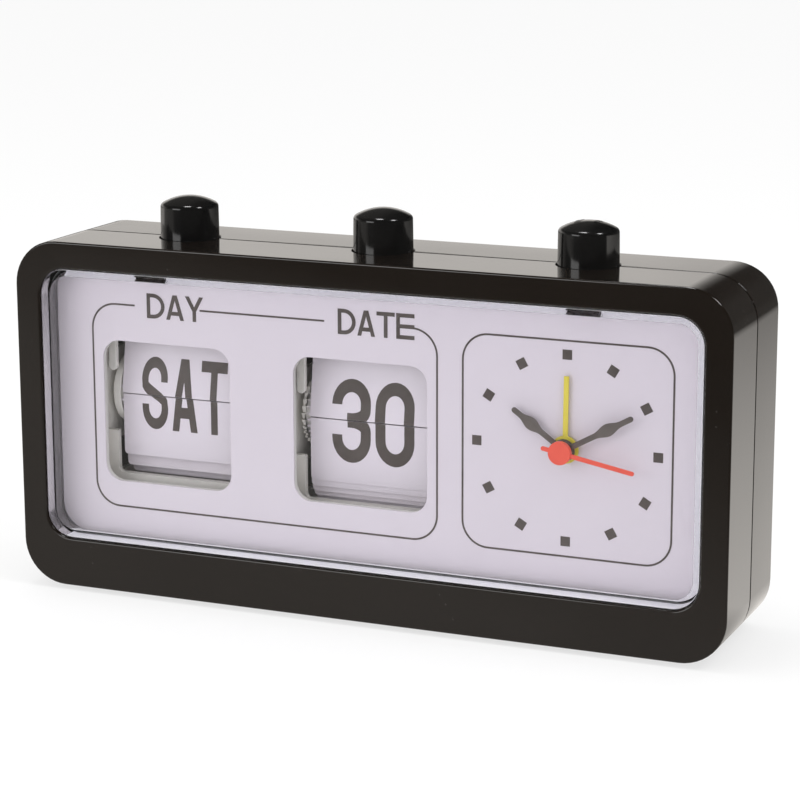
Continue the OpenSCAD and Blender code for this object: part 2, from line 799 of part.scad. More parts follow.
module calendar_frame(x, seam, lugs) {
    between = [x - side_in, x + side_in];
    color("#e6e4d8") difference() {
        union() {
            for (s = [-1, 1])
                translate([x + (s > 0 ? side_in : -side_out), 0, 0])
                    across(0, side_t) side_outline(seam);
            pillar(x - side_in - 0.1, x - disc_in - pillar_in, seam, 1);
            pillar(x + disc_in + pillar_in, x + side_in + 0.1, seam, -1);
            // ledge under the leaves, floor and rear wall
            block(between, ledge_y, [side_z[0], seam - 20.1]);
            block(between, [ledge_y[1], side_y[1]], [side_z[0], side_z[0] + 1.4]);
            block(between, [rear_y, side_y[1]], [side_z[0], seam - ratchet_r + 0.7]);
            // bar over the leaf tips
            block(between, [side_y[0], side_y[0] + 1.5], [seam + 17.2, seam + 19.2]);
            // lugs
            for (p = lugs) {
                s = p[0] > x ? 1 : -1;
                rod_y(p[0], p[1], lug_r, post_end, post_end + lug_t);
                block(s > 0 ? [x + side_in + 0.2, p[0]] : [p[0], x - side_in - 0.2],
                      [post_end, post_end + lug_t], [p[1] - lug_r, p[1] + lug_r]);
            }
        }
        rod_x(drum_y, seam, axle_r, x - side_out - 1, x + side_out + 1);
        for (p = lugs) rod_y(p[0], p[1], small_screw[0] + 0.2, post_end - 1, post_end + 3);
    }
}

module axle(x, seam) {
    color("silver") rod_x(drum_y, seam, axle_r, x - side_out - 0.4, x + side_out + 0.4);
}

// spring strip that keeps the drum from turning back
module click(x, seam) {
    color("silver") block([x + disc_out + 0.1, x + ratchet_out], [drum_y - 0.6, rear_y],
                          [seam - ratchet_r - 0.5, seam - ratchet_r - 0.2]);
}

// yoke under a button: a short leg on the left, the driving leg on the right
module pawl(n, x, seam) {
    drive_z = seam + (ratchet_r - 0.5) * sin(step(n) / 2) + slip;
    px = [x + disc_out + 0.1, x + ratchet_out];
    short_x = x - leaf_w / 2 - slip - short_leg_w / 2;
    short_end = seam + 7.2;
    color("#e6e4d8") {
        block([short_x - short_leg_w / 2, px[1]], [leg_y[0], button_y + stem_r],
              [stem_end - yoke_t, stem_end]);
        // short leg with its rounded foot
        block([short_x - short_leg_w / 2, short_x + short_leg_w / 2], leg_y,
              [short_end, stem_end - yoke_t + 0.1]);
        rod_y(short_x, short_end, short_leg_w / 2, leg_y[0], leg_y[1]);
        block(px, pusher_y, [drive_z, stem_end - yoke_t + 0.1]);
        pawl_hook(px, drive_z);
    }
}

module pawl_hook(px, z) {
    across(px[0], px[1])
        polygon([[pusher_y[0], z], [hook_tip_y, z], [pusher_y[1], z + 1.1],
                 [pusher_y[0], z + 1.1]]);
}

module day_frame() {
    calendar_frame(day_x, day_seam, [for (i = [0 : 2]) calendar_posts()[i]]);
}
module day_axle() { axle(day_x, day_seam); }
module day_drum() { drum(day_leaves_n, day_x, day_seam, false); }
module day_ratchet() { ratchet(day_leaves_n, day_x, day_seam); }
module day_click() { click(day_x, day_seam); }
module day_leaves() { leaf_pack(day_leaves_n, day_x, day_seam); }
module day_flap() { flap(day_leaves_n, day_x, day_seam); }
module day_pawl() { pawl(day_leaves_n, day_x, day_seam); }
module date_frame() {
    calendar_frame(date_x, date_seam, [for (i = [3 : 5]) calendar_posts()[i]]);
}
module date_axle() { axle(date_x, date_seam); }
module date_drum() { drum(date_leaves_n, date_x, date_seam, true); }
module date_ratchet() { ratchet(date_leaves_n, date_x, date_seam); }
module date_click() { click(date_x, date_seam); }
module date_leaves() { leaf_pack(date_leaves_n, date_x, date_seam); }
module date_flap() { flap(date_leaves_n, date_x, date_seam); }
module date_pawl() { pawl(date_leaves_n, date_x, date_seam); }

module frame_screws() {
    color("silver") for (p = calendar_posts()) screw(p[0], p[1], post_end + lug_t, small_screw);
}

// ---------------------------------------------------------------- buttons

cap_draft = 0.2;        // a cap is this much narrower at its shoulder than at its foot
cap_r = button_r - cap_draft;
// centre of the shoulder's arc under the top of the crown, and where the two arcs meet
shoulder_drop = crown_r - sqrt((crown_r - cap_edge) ^ 2 - (cap_r - cap_edge) ^ 2);
shoulder_r = (cap_r - cap_edge) * crown_r / (crown_r - cap_edge);
cavity_drop = crown_r - sqrt(crown_r ^ 2 - (cap_r - cap_wall) ^ 2) + cap_wall;

// half section of a button cap, turned about its stem
module cap_profile(low, top) {
    shoulder = [cap_r - cap_edge, top - shoulder_drop];
    difference() {
        union() {
            polygon([[0, low], [button_r, low], [cap_r, shoulder[1]], [0, shoulder[1]]]);
            translate(shoulder) circle(cap_edge);
            intersection() {
                translate([0, top - crown_r]) circle(crown_r, $fn = 200);
                polygon([[0, shoulder[1]], shoulder,
                         [shoulder_r, top - crown_r + sqrt(crown_r ^ 2 - shoulder_r ^ 2)],
                         [shoulder_r, top + 1], [0, top + 1]]);
            }
        }
        translate([stem_r, low - 1])
            square([cap_r - cap_wall - stem_r, top - cavity_drop - low + 1]);
        translate([-20, low - 20]) square([20, top + 40]);
    }
}

module button(x, stem_low) {
    top = case_h + button_h;
    color("#17130f") {
        translate([x, button_y, 0]) rotate_extrude() cap_profile(wing_z, top);
        rod_z(x, button_y, stem_r, stem_low, wing_z + 2);
        // wings that stop the button under the case
        difference() {
            intersection() {
                rod_z(x, button_y, wing_r, wing_z, wing_z + wing_t);
                block([x - wing_r, x + wing_r], [button_y - 4.5, button_y + 4.5],
                      [wing_z - 1, wing_z + wing_t + 1]);
            }
            rod_z(x, button_y, cap_r - cap_wall, wing_z - 1, wing_z + wing_t + 1);
        }
    }
}

module button_spring(x) {
    z0 = shelf_z + shelf_t + spring_wire;
    z1 = case_h + button_h - cavity_drop - spring_wire;
    color("silver") translate([x, button_y, z0]) helix(spring_r, z1 - z0, 7, spring_wire);
}

module day_button() { button(button_x[0], stem_end); }
module day_spring() { button_spring(button_x[0]); }
module date_button() { button(button_x[1], stem_end); }
module date_spring() { button_spring(button_x[1]); }
module alarm_button() { button(button_x[2], stem_end + 0.3); }
module alarm_spring() { button_spring(button_x[2]); }

module alarm_switch() {
    top = dial_z + move_half;
    color("#2b2b2b") block([button_x[2] - 4.5, button_x[2] + 4.5], [14.2, 20], [top, top + 3]);
    color("#a33") rod_z(button_x[2], button_y - 1.4, 1.3, top + 3, top + 4);
}

// ---------------------------------------------------------------- movement

module at_dial() {
    translate([dial_x, 0, dial_z]) children();
}

module movement_shell(y0, y1, open_y, shut_y) {
    side = 2 * move_half;
    difference() {
        slab(side, side, 3, y0, y1, 0, 0);
        slab(side - 2 * mv_wall, side - 2 * mv_wall, 2, open_y, shut_y, 0, 0);
    }
}

module movement_front() {
    color("#e9e7dc") at_dial() difference() {
        union() {
            movement_shell(mv_y[0], mv_y[1], mv_y[0] + mv_wall, mv_y[1] + 1);
            rod_y(0, 0, bush_r, card_y + 0.2, mv_y[0] + 0.5);
            for (sx = [-1, 1], sz = [-1, 1]) {
                rod_y(sx * mv_ear[0], sz * mv_ear[1], lug_r, post_end, post_end + lug_t);
                block(sx > 0 ? [move_half - 1, mv_ear[0]] : [-mv_ear[0], 1 - move_half],
                      [post_end, post_end + lug_t],
                      [sz * mv_ear[1] - lug_r, sz * mv_ear[1] + lug_r]);
            }
            // bearing for the motion wheel
            rod_y(motion_at[0], motion_at[1], 1.4, mv_y[0] + 0.5, alarm_wheel_y - 0.2);
        }
        rod_y(0, 0, alarm_r + run, card_y - 1, mv_y[0] + mv_wall + 1);
        for (sx = [-1, 1], sz = [-1, 1])
            rod_y(sx * mv_ear[0], sz * mv_ear[1], small_screw[0] + 0.2,
                  post_end - 1, post_end + 3);
        rod_y(motion_at[0], motion_at[1], arbor_r + run, mv_y[0] + 0.4, alarm_wheel_y);
    }
}

module movement_back() {
    back_in = mv_y[2] - mv_wall;
    color("#e9e7dc") at_dial() difference() {
        union() {
            movement_shell(mv_y[1], mv_y[2], mv_y[1] - 1, back_in);
            // bearings for the arbors that end before the back wall
            for (at = [[0, 0], fifth_at, rotor_at, motion_at])
                rod_y(at[0], at[1], 1.5, arbor_end - 0.6, back_in + 0.5);
        }
        for (at = [alarm_knob_at, time_knob_at])
            rod_y(at[0], at[1], knob_shaft_r + run, back_in - 1, mv_y[2] + 1);
        for (at = [fifth_at, rotor_at, motion_at])
            rod_y(at[0], at[1], arbor_r + run, arbor_end - 1, back_in - 0.2);
        rod_y(0, 0, second_r + run, arbor_end - 1, back_in - 0.2);
    }
}

module movement_screws() {
    color("silver") for (p = movement_posts()) screw(p[0], p[1], post_end + lug_t, small_screw);
}

module circuit_board() {
    back_in = mv_y[2] - mv_wall;
    color("#2f6b3c") at_dial() block(board_x, [back_in - 1, back_in], board_z);
}

module coil() {
    color("#b5622e") at_dial()
        rod_x(coil_y, coil_at[1], coil_r, coil_at[0] - coil_half, coil_at[0] + coil_half);
}

// iron plates from the coil's ends to the rotor
module stator() {
    color("silver") at_dial() difference() {
        union() {
            for (s = [-1, 1]) {
                x0 = coil_at[0] + (s > 0 ? coil_half : -coil_half - core_t);
                block([x0, x0 + core_t], [coil_y - 2.5, stator_y[1]],
                      [coil_at[1] - 2, coil_at[1] + 4]);
            }
            block([coil_at[0] - coil_half - core_t, coil_at[0] + coil_half + core_t],
                  stator_y, [coil_at[1] + coil_r + 0.2, rotor_at[1] + 3.6]);
        }
        rod_y(rotor_at[0], rotor_at[1], rotor_r + 0.5, stator_y[0] - 1, stator_y[1] + 1);
        rod_y(fifth_at[0], fifth_at[1], 2, stator_y[0] - 1, stator_y[1] + 1);
    }
}

// turns of the wheels, so that each tooth stands in its neighbour's gap
fifth_pinion_turn = mesh_turn(second_teeth, 0, fifth_dir, pinion_teeth);
rotor_turn = mesh_turn(fifth_teeth, 0, rotor_dir, pinion_teeth);
motion_turn = mesh_turn(minute_teeth, 0, motion_dir, motion_teeth);
hour_turn = mesh_turn(motion_pinion_teeth, 0, motion_dir + 180, hour_teeth);
time_pinion_turn = mesh_turn(motion_teeth, motion_turn, motion_dir, pinion_teeth);
alarm_pinion_turn = mesh_turn(alarm_teeth, 0, alarm_dir, pinion_teeth);

module second_wheel() {
    color("#d9b25a") at_dial() {
        gear(second_teeth, small_m, second_wheel_y, wheel_t);
        rod_y(0, 0, second_r, second_hand_y, arbor_end + 1);
    }
}

module fifth_wheel() {
    color("#d9b25a") at_dial() translate([fifth_at[0], 0, fifth_at[1]]) {
        gear(pinion_teeth, small_m, second_wheel_y - 0.2, fifth_wheel_y - second_wheel_y + 0.3,
             fifth_pinion_turn);
        gear(fifth_teeth, small_m, fifth_wheel_y, wheel_t);
        rod_y(0, 0, arbor_r, second_wheel_y - 1, arbor_end + 1);
    }
}

module rotor() {
    color("#4b4f55") at_dial() translate([rotor_at[0], 0, rotor_at[1]]) {
        gear(pinion_teeth, small_m, fifth_wheel_y - 0.2, wheel_t + 0.6, rotor_turn);
        rod_y(0, 0, rotor_r, fifth_wheel_y + wheel_t + 0.3, stator_y[1] + 0.1);
        rod_y(0, 0, arbor_r, fifth_wheel_y - 1, arbor_end + 1);
    }
}

module pipe(inner, outer, y0, y1) {
    difference() {
        rod_y(0, 0, outer, y0, y1);
        rod_y(0, 0, inner, y0 - 1, y1 + 1);
    }
}

module minute_wheel() {
    color("#d9b25a") at_dial() {
        difference() {
            gear(minute_teeth, large_m, minute_wheel_y, wheel_t + 0.4);
            rod_y(0, 0, second_r + run, 0, 30);
        }
        pipe(second_r + run, minute_r, minute_hand_y, minute_wheel_y + wheel_t + 0.8);
    }
}

module motion_wheel() {
    color("#d9b25a") at_dial() translate([motion_at[0], 0, motion_at[1]]) {
        gear(motion_pinion_teeth, large_m, hour_wheel_y - 0.1, 1.6);
        gear(motion_teeth, large_m, minute_wheel_y + 0.1, wheel_t, motion_turn);
        rod_y(0, 0, arbor_r, mv_y[0] + 0.6, arbor_end + 1);
    }
}

module hour_wheel() {
    color("#d9b25a") at_dial() {
        difference() {
            gear(hour_teeth, large_m, hour_wheel_y, wheel_t, hour_turn);
            rod_y(0, 0, minute_r + run, 0, 30);
        }
        pipe(minute_r + run, hour_r, hour_hand_y, hour_wheel_y + wheel_t + 0.2);
    }
}

module alarm_wheel() {
    color("#d9b25a") at_dial() {
        difference() {
            gear(alarm_teeth, large_m, alarm_wheel_y, wheel_t);
            rod_y(0, 0, hour_r + run, 0, 30);
        }
        pipe(hour_r + run, alarm_r, alarm_hand_y, alarm_wheel_y + wheel_t + 0.2);
    }
}

// ---------------------------------------------------------------- hands

// straight arm of even width with a rounded tip, pointing up from the hub
module arm(w, len) {
    translate([-w / 2, 0]) square([w, len - w / 2]);
    translate([0, len - w / 2]) circle(w / 2);
}

// arm with a swelling that rises and falls along a cosine; bulge is middle, length, width
module spade(len, bulge) {
    arm(arm_w, len);
    rise = (bulge[2] - arm_w) / 4;
    edge_at = [for (i = [-10 : 10]) [arm_w / 2 + rise * (1 + cos(18 * i)),
                                     bulge[0] + bulge[1] * i / 20]];
    polygon(concat(edge_at, [for (i = [20 : -1 : 0]) [-edge_at[i][0], edge_at[i][1]]]));
}

module hub_hand(y, at, hub, hole) {
    at_dial() difference() {
        union() {
            stood(y, y + hand_t) rotate(-at) children();
            rod_y(0, 0, hub, y, y + hand_t);
        }
        rod_y(0, 0, hole, 0, 30);
    }
}

module minute_hand() {
    color("#4b443f") {
        hub_hand(minute_hand_y, minute_at, hub_r, minute_r) spade(minute_len, minute_bulge);
        at_dial() pipe(second_r + run, collar_r, minute_hand_y - hand_t, minute_hand_y);
    }
}

module hour_hand() {
    color("#4b443f") hub_hand(hour_hand_y, hour_at, hub_r, hour_r)
        spade(hour_len, hour_bulge);
}

module alarm_hand() {
    color("#e1d246") hub_hand(alarm_hand_y, alarm_at, alarm_hub_r, alarm_r)
        translate([-alarm_w / 2, 0]) square([alarm_w, alarm_len]);
}

module second_hand() {
    color("#eb5546") at_dial() difference() {
        union() {
            stood(second_hand_y, second_hand_y + hand_t) rotate(-second_at) {
                arm(second_w, second_len);
                rotate(180) arm(second_w, second_tail);
            }
            rod_y(0, 0, second_hub[0], second_hand_y - second_hub[1],
                  second_hand_y + second_hub[2]);
        }
        rod_y(0, 0, second_r, second_hand_y, 30);
    }
}

// ---------------------------------------------------------------- knobs, buzzer and battery

module knob(at, plane, turn) {
    y0 = case_d - knob_recess_deep + 0.5;
    color("#17130f") at_dial() translate([at[0], 0, at[1]]) {
        difference() {
            rod_y(0, 0, knob_r, y0, case_d - 0.3);
            for (a = [0 : 20 : 340])
                rod_y(knob_r * cos(a) * 1.04, knob_r * sin(a) * 1.04, 0.6, y0 - 1, case_d + 1);
        }
        rod_y(0, 0, knob_shaft_r, plane + wheel_t, y0 + 0.5);
        gear(pinion_teeth, large_m, plane - 0.2, wheel_t + 0.4, turn);
    }
}

module time_knob() { knob(time_knob_at, minute_wheel_y + 0.1, time_pinion_turn); }
module alarm_knob() { knob(alarm_knob_at, alarm_wheel_y, alarm_pinion_turn); }

module buzzer() {
    back = case_d - wall;
    color("#c9a24a") rod_y(buzzer_at[0], buzzer_at[1], buzzer_r, back - buzzer_t, back);
}

module battery() {
    color("#8f8f93") {
        rod_x(cell_y, cell_z, cell_d / 2, cell_end - cell_len, cell_end - 1);
        rod_x(cell_y, cell_z, 2.7, cell_end - 1.1, cell_end);
    }
}

module contact_plus() {
    color("silver") block([cell_end, bay_x[1]], [cell_y - 5, cell_y + 5],
                          [cell_z - 5, cell_z + 5]);
}

module contact_spring() {
    color("silver") {
        block([bay_x[0], bay_x[0] + 0.4], [cell_y - 5, cell_y + 5], [cell_z - 5, cell_z + 5]);
        translate([bay_x[0] + 0.6, cell_y, cell_z]) rotate([0, 90, 0])
            helix(3.6, cell_end - cell_len - bay_x[0] - 1, 3, 0.35);
    }
}

module battery_door() {
    x = [bay_x[0] - bay_wall + door_gap, bay_x[1] + bay_wall - door_gap];
    z = [bay_z[0] - bay_wall + door_gap, bay_z[1] + bay_wall - door_gap];
    color("#17130f") difference() {
        union() {
            block(x, [case_d - door_t, case_d], z);
            for (x0 = [bay_x[0] + door_gap, bay_x[1] - door_gap - 1.2])
                block([x0, x0 + 1.2], [case_d - door_t - 2, case_d],
                      [bay_z[0] + 2, bay_z[1] - 2]);
        }
        // finger grooves
        for (i = [0 : 3])
            block([x[1] - 8 + 1.6 * i, x[1] - 7.3 + 1.6 * i], [case_d - 0.4, case_d + 1],
                  [cell_z - 4, cell_z + 4]);
    }
}

placed() front_bezel();
placed() rear_cover();
placed() feet();
placed() case_screws();
placed() lens();
placed() dial_card();
placed() dial_print();
placed() dial_plate();
placed() plate_screws();
placed() day_frame();
placed() day_axle();
placed() day_drum();
placed() day_ratchet();
placed() day_click();
placed() day_leaves();
placed() day_flap();
placed() day_button();
placed() day_pawl();
placed() day_spring();
placed() date_frame();
placed() date_axle();
placed() date_drum();
placed() date_ratchet();
placed() date_click();
placed() date_leaves();
placed() date_flap();
placed() date_button();
placed() date_pawl();
placed() date_spring();
placed() frame_screws();
placed() alarm_button();
placed() alarm_spring();
placed() alarm_switch();
placed() movement_front();
placed() movement_back();
placed() movement_screws();
placed() circuit_board();
placed() coil();
placed() stator();
placed() rotor();
placed() fifth_wheel();
placed() second_wheel();
placed() minute_wheel();
placed() motion_wheel();
placed() hour_wheel();
placed() alarm_wheel();
placed() second_hand();
placed() minute_hand();
placed() hour_hand();
placed() alarm_hand();
placed() time_knob();
placed() alarm_knob();
placed() buzzer();
placed() battery();
placed() battery_door();
placed() contact_plus();
placed() contact_spring();
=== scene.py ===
"""Looks of a desk clock with flip-leaf calendar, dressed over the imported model.

Up to the stage, lengths are in millimetres until mm() turns them into metres. Depths count from
the case's front face and heights from its underside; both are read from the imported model.
"""
import json
import math

import bmesh
import bpy
from mathutils import Matrix, Quaternion, Vector

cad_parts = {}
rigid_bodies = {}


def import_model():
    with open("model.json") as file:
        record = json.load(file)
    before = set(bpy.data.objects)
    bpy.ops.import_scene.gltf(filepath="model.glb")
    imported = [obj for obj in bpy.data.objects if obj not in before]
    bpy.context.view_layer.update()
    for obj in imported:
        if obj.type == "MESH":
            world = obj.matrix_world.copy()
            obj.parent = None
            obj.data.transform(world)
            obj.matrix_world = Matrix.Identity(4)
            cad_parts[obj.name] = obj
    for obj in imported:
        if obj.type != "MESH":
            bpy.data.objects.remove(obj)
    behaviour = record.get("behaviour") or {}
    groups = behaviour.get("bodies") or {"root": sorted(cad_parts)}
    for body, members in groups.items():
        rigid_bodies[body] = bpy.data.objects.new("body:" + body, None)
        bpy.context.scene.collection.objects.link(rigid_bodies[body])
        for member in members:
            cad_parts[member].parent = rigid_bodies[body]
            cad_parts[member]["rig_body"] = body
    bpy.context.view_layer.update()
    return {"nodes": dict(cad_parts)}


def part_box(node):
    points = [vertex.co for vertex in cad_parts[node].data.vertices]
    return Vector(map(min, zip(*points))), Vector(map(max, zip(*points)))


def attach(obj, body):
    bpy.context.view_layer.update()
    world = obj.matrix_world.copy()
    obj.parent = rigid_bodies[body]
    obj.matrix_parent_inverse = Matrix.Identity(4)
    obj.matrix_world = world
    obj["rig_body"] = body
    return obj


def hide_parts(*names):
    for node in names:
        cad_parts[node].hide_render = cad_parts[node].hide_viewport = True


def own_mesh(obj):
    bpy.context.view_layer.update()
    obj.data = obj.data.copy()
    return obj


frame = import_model()
NODES = frame["nodes"]

# ------------------------------------------------------------------ sizes
MM = 0.001                   # a millimetre in metres
FACE_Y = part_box("front_bezel")[0].y / MM
UNDER_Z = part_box("front_bezel")[0].z / MM

CASE_HALF = (90.0, 42.9)     # half the case's width and height
CORNER_R = 11.0              # radius of the case's corners
SMOOTH_TURN = 30             # edges that turn by fewer degrees than this are shaded as one curve
FLAT_TURN = 0.3              # faces that turn by fewer degrees are joined into one
SOFT_TURN = 35               # edges that turn by more degrees are softened
OUTLINE_SLACK = 0.04         # how far a vertex may be off an outline that it belongs to

# The rear shell's rings: depth, how far the ring stands inside the front shell's outline in the
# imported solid, how much smaller its corner radius is, and how far inside it is drawn here.
REAR_RINGS = (
    (18.85, 0.35, 0.35, 0.03),
    (19.85, 0.35, 0.35, 0.03),
    (36.6, 0.85, 1.0, 0.15),
    (37.8, 1.25, 1.4, 0.45),
    (38.6, 2.35, 2.6, 1.3),
)
PARTING_Y = 19.0             # depth up to which a vertex belongs to the parting line
PARTING_OPEN = 0.4           # the parting line is drawn this much wider at the surface

LENS_CAVITY = (81.55, 31.65)     # half width and height between the lens's side walls
LENS_CAVITY_R = 4.8
LENS_MIDDLE = 45.65          # height of the lens's middle
LENS_FLARE = 1.8             # its side walls are drawn this much thinner at their ends
LENS_WALL_Y = (5.0, 8.5)     # the walls go on past the first depth, and end past the second
SLOT_Y = (2.9, 5.5)          # depths between which the snap tabs' slots lie
SLOT_FLOOR = 78.0            # a height just over the slots' floors
SLOT_RAISE = 0.6             # the floors are drawn this much higher, clear of the thinned wall

CARD_Y = 8.95                # depth of the titles, just over the card
TITLE_Z = (67.1, 73.2)       # the titles' feet and tops
TITLE_STROKE = 0.95
TITLE_GAP = 0.35             # gap between the titles' letters

PRINT_T = 0.012              # thickness of printed ink
PRINT_LIFT = 0.005           # ink's height over a leaf
PRINT_CLEAR = 0.02           # ink stops this far from the slit
LEAF_T = 0.25                # thickness of a leaf
EAR_R = 7.8                  # radius of the circle of leaf ears
DRUM_Y = 25.0                # depth of the drum's axis
FLAP_SHIFT = 0.25            # how far the showing leaf stands before the others
SEAM_GAP = 0.15              # half the slit between two leaves

CROWN_R = 13.05              # radius of the dome on a button's cap
CROWN_TOP = 96.0             # height of the dome's top
LEGEND_STROKE = 0.3
LEGEND_GAP = 0.35            # gap between the button legend's letters
LEGEND_HEIGHT = 1.5          # height of those letters
LEGEND_RAISED = 0.08         # how far the legend stands over the dome
LEGEND_ROOT = 0.2            # how far it reaches into the cap


def mm(*values):
    return Vector(v * MM for v in values)


def depth_of(point):
    return point.y / MM - FACE_Y


def height_of(point):
    return point.z / MM - UNDER_Z


def middle_x(node):
    low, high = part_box(node)
    return (low.x + high.x) / 2 / MM


# ------------------------------------------------------------------ node groups
def feed(tree, socket, value):
    """Sets a socket to a constant, or links an output to it."""
    if isinstance(value, (int, float, tuple)):
        socket.default_value = value
    else:
        tree.links.new(value, socket)


def math_node(tree, operation, first, *others):
    """Joins values with an operation, from left to right."""
    for other in others:
        node = tree.nodes.new("ShaderNodeMath")
        node.operation = operation
        feed(tree, node.inputs[0], first)
        feed(tree, node.inputs[1], other)
        first = node.outputs[0]
    return first


def split_axes(tree, vector):
    apart = tree.nodes.new("ShaderNodeSeparateXYZ")
    tree.links.new(vector, apart.inputs[0])
    return apart.outputs


def ramp(tree, value, low, high, to_low=0.0, to_high=1.0):
    node = tree.nodes.new("ShaderNodeMapRange")
    node.inputs["From Min"].default_value = low
    node.inputs["From Max"].default_value = high
    node.inputs["To Min"].default_value = to_low
    node.inputs["To Max"].default_value = to_high
    tree.links.new(value, node.inputs["Value"])
    return node.outputs[0]


def noise(tree, vector, scale, detail=3.0, stretch=None):
    if stretch:
        mapping = tree.nodes.new("ShaderNodeMapping")
        mapping.inputs["Scale"].default_value = stretch
        tree.links.new(vector, mapping.inputs["Vector"])
        vector = mapping.outputs[0]
    node = tree.nodes.new("ShaderNodeTexNoise")
    node.inputs["Detail"].default_value = detail
    feed(tree, node.inputs["Scale"], scale)
    tree.links.new(vector, node.inputs["Vector"])
    return node.outputs[0]


def mix_colour(tree, factor, a, b):
    node = tree.nodes.new("ShaderNodeMix")
    node.data_type = "RGBA"
    for label, value in (("Factor", factor), ("A", a), ("B", b)):
        feed(tree, node.inputs[label], value)
    return node.outputs["Result"]


def new_group(name, inputs, outputs):
    group = bpy.data.node_groups.new(name, "ShaderNodeTree")
    for label, kind, value in inputs:
        socket = group.interface.new_socket(label, in_out="INPUT", socket_type=kind)
        if value is not None:
            socket.default_value = value
    for label, kind in outputs:
        group.interface.new_socket(label, in_out="OUTPUT", socket_type=kind)
    entry = group.nodes.new("NodeGroupInput")
    leave = group.nodes.new("NodeGroupOutput")
    return group, entry.outputs, leave.inputs


def tone_group():
    """Slow drift of a colour between two tones."""
    group, into, out = new_group(
        "two_tone_drift",
        [("Vector", "NodeSocketVector", None), ("Tone", "NodeSocketColor", (0.5, 0.5, 0.5, 1)),
         ("Shade", "NodeSocketColor", (0.4, 0.4, 0.4, 1)), ("Scale", "NodeSocketFloat", 40.0)],
        [("Color", "NodeSocketColor")])
    drift = ramp(group, noise(group, into["Vector"], into["Scale"]), 0.35, 0.65)
    group.links.new(mix_colour(group, drift, into["Tone"], into["Shade"]), out["Color"])
    return group


def grain_group():
    """Fine unevenness of a moulded or printed surface, as a normal."""
    group, into, out = new_group(
        "moulding_grain",
        [("Vector", "NodeSocketVector", None), ("Scale", "NodeSocketFloat", 900.0),
         ("Depth", "NodeSocketFloat", 0.02)],
        [("Normal", "NodeSocketVector")])
    bump = group.nodes.new("ShaderNodeBump")
    bump.inputs["Distance"].default_value = 0.001
    group.links.new(noise(group, into["Vector"], into["Scale"], 2.0), bump.inputs["Height"])
    group.links.new(into["Depth"], bump.inputs["Strength"])
    group.links.new(bump.outputs[0], out["Normal"])
    return group


def wipe_group():
    """Roughness that varies with wiping and handling: broad smears and a few hairline scratches."""
    group, into, out = new_group(
        "wiped_roughness",
        [("Vector", "NodeSocketVector", None), ("Smooth", "NodeSocketFloat", 0.1),
         ("Smeared", "NodeSocketFloat", 0.2)],
        [("Roughness", "NodeSocketFloat")])
    smear = ramp(group, noise(group, into["Vector"], 35.0, 4.0, (1, 1, 3)), 0.45, 0.75)
    hair = ramp(group, noise(group, into["Vector"], 260.0, 1.0, (0.12, 1, 3)), 0.70, 0.74, 0, 0.6)
    mask = math_node(group, "MAXIMUM", smear, hair)
    spread = math_node(group, "SUBTRACT", into["Smeared"], into["Smooth"])
    rough = math_node(group, "ADD", into["Smooth"], math_node(group, "MULTIPLY", mask, spread))
    group.links.new(rough, out["Roughness"])
    return group


def dust_group():
    """Specks of dust: more of them where a surface looks up."""
    group, into, out = new_group(
        "settled_dust",
        [("Vector", "NodeSocketVector", None), ("Color", "NodeSocketColor", (0, 0, 0, 1)),
         ("Amount", "NodeSocketFloat", 0.3)],
        [("Color", "NodeSocketColor")])
    cells = group.nodes.new("ShaderNodeTexVoronoi")
    cells.inputs["Scale"].default_value = 420.0
    group.links.new(into["Vector"], cells.inputs["Vector"])
    speck = ramp(group, cells.outputs["Distance"], 0.10, 0.05)
    patch = ramp(group, noise(group, into["Vector"], 60.0), 0.55, 0.7)
    normal = group.nodes.new("ShaderNodeNewGeometry").outputs["Normal"]
    upward = ramp(group, split_axes(group, normal)["Z"], 0.3, 1.0, 0.25, 1.0)
    mask = math_node(group, "MULTIPLY", speck, patch, upward, into["Amount"])
    group.links.new(mix_colour(group, mask, into["Color"], (0.45, 0.44, 0.42, 1)), out["Color"])
    return group


TONES = tone_group()
GRAIN = grain_group()
WIPES = wipe_group()
DUST = dust_group()


def put_group(tree, group, vector, **values):
    node = tree.nodes.new("ShaderNodeGroup")
    node.node_tree = group
    tree.links.new(vector, node.inputs["Vector"])
    for label, value in values.items():
        feed(tree, node.inputs[label], value)
    return node.outputs[0]


# ------------------------------------------------------------------ materials
def start_material(name, **sockets):
    material = bpy.data.materials.new(name)
    material.use_nodes = True
    tree = material.node_tree
    shader = tree.nodes["Principled BSDF"]
    for label, value in sockets.items():
        shader.inputs[label.replace("_", " ")].default_value = value
    vector = tree.nodes.new("ShaderNodeTexCoord").outputs["Object"]
    return material, tree, shader, vector


def mixed_surface(tree, factor, first, second):
    """Gives a material a mix of two shaders."""
    pick = tree.nodes.new("ShaderNodeMixShader")
    for socket, value in zip(pick.inputs, (factor, first, second)):
        tree.links.new(value, socket)
    tree.links.new(pick.outputs[0], tree.nodes["Material Output"].inputs["Surface"])


def finish_of(name, tone, shade, smooth, smeared, scale, grain, dust=0.0, **sockets):
    """Moulded, printed or plated finish: two tones that drift at a scale, roughness between
    smooth and smeared, grain given as scale and depth, and dust."""
    material, tree, shader, vector = start_material(name, **sockets)
    colour = put_group(tree, TONES, vector, Tone=(*tone, 1), Shade=(*shade, 1), Scale=scale)
    if dust:
        colour = put_group(tree, DUST, vector, Color=colour, Amount=dust)
    tree.links.new(colour, shader.inputs["Base Color"])
    rough = put_group(tree, WIPES, vector, Smooth=smooth, Smeared=smeared)
    tree.links.new(rough, shader.inputs["Roughness"])
    normal = put_group(tree, GRAIN, vector, Scale=grain[0], Depth=grain[1])
    tree.links.new(normal, shader.inputs["Normal"])
    return material


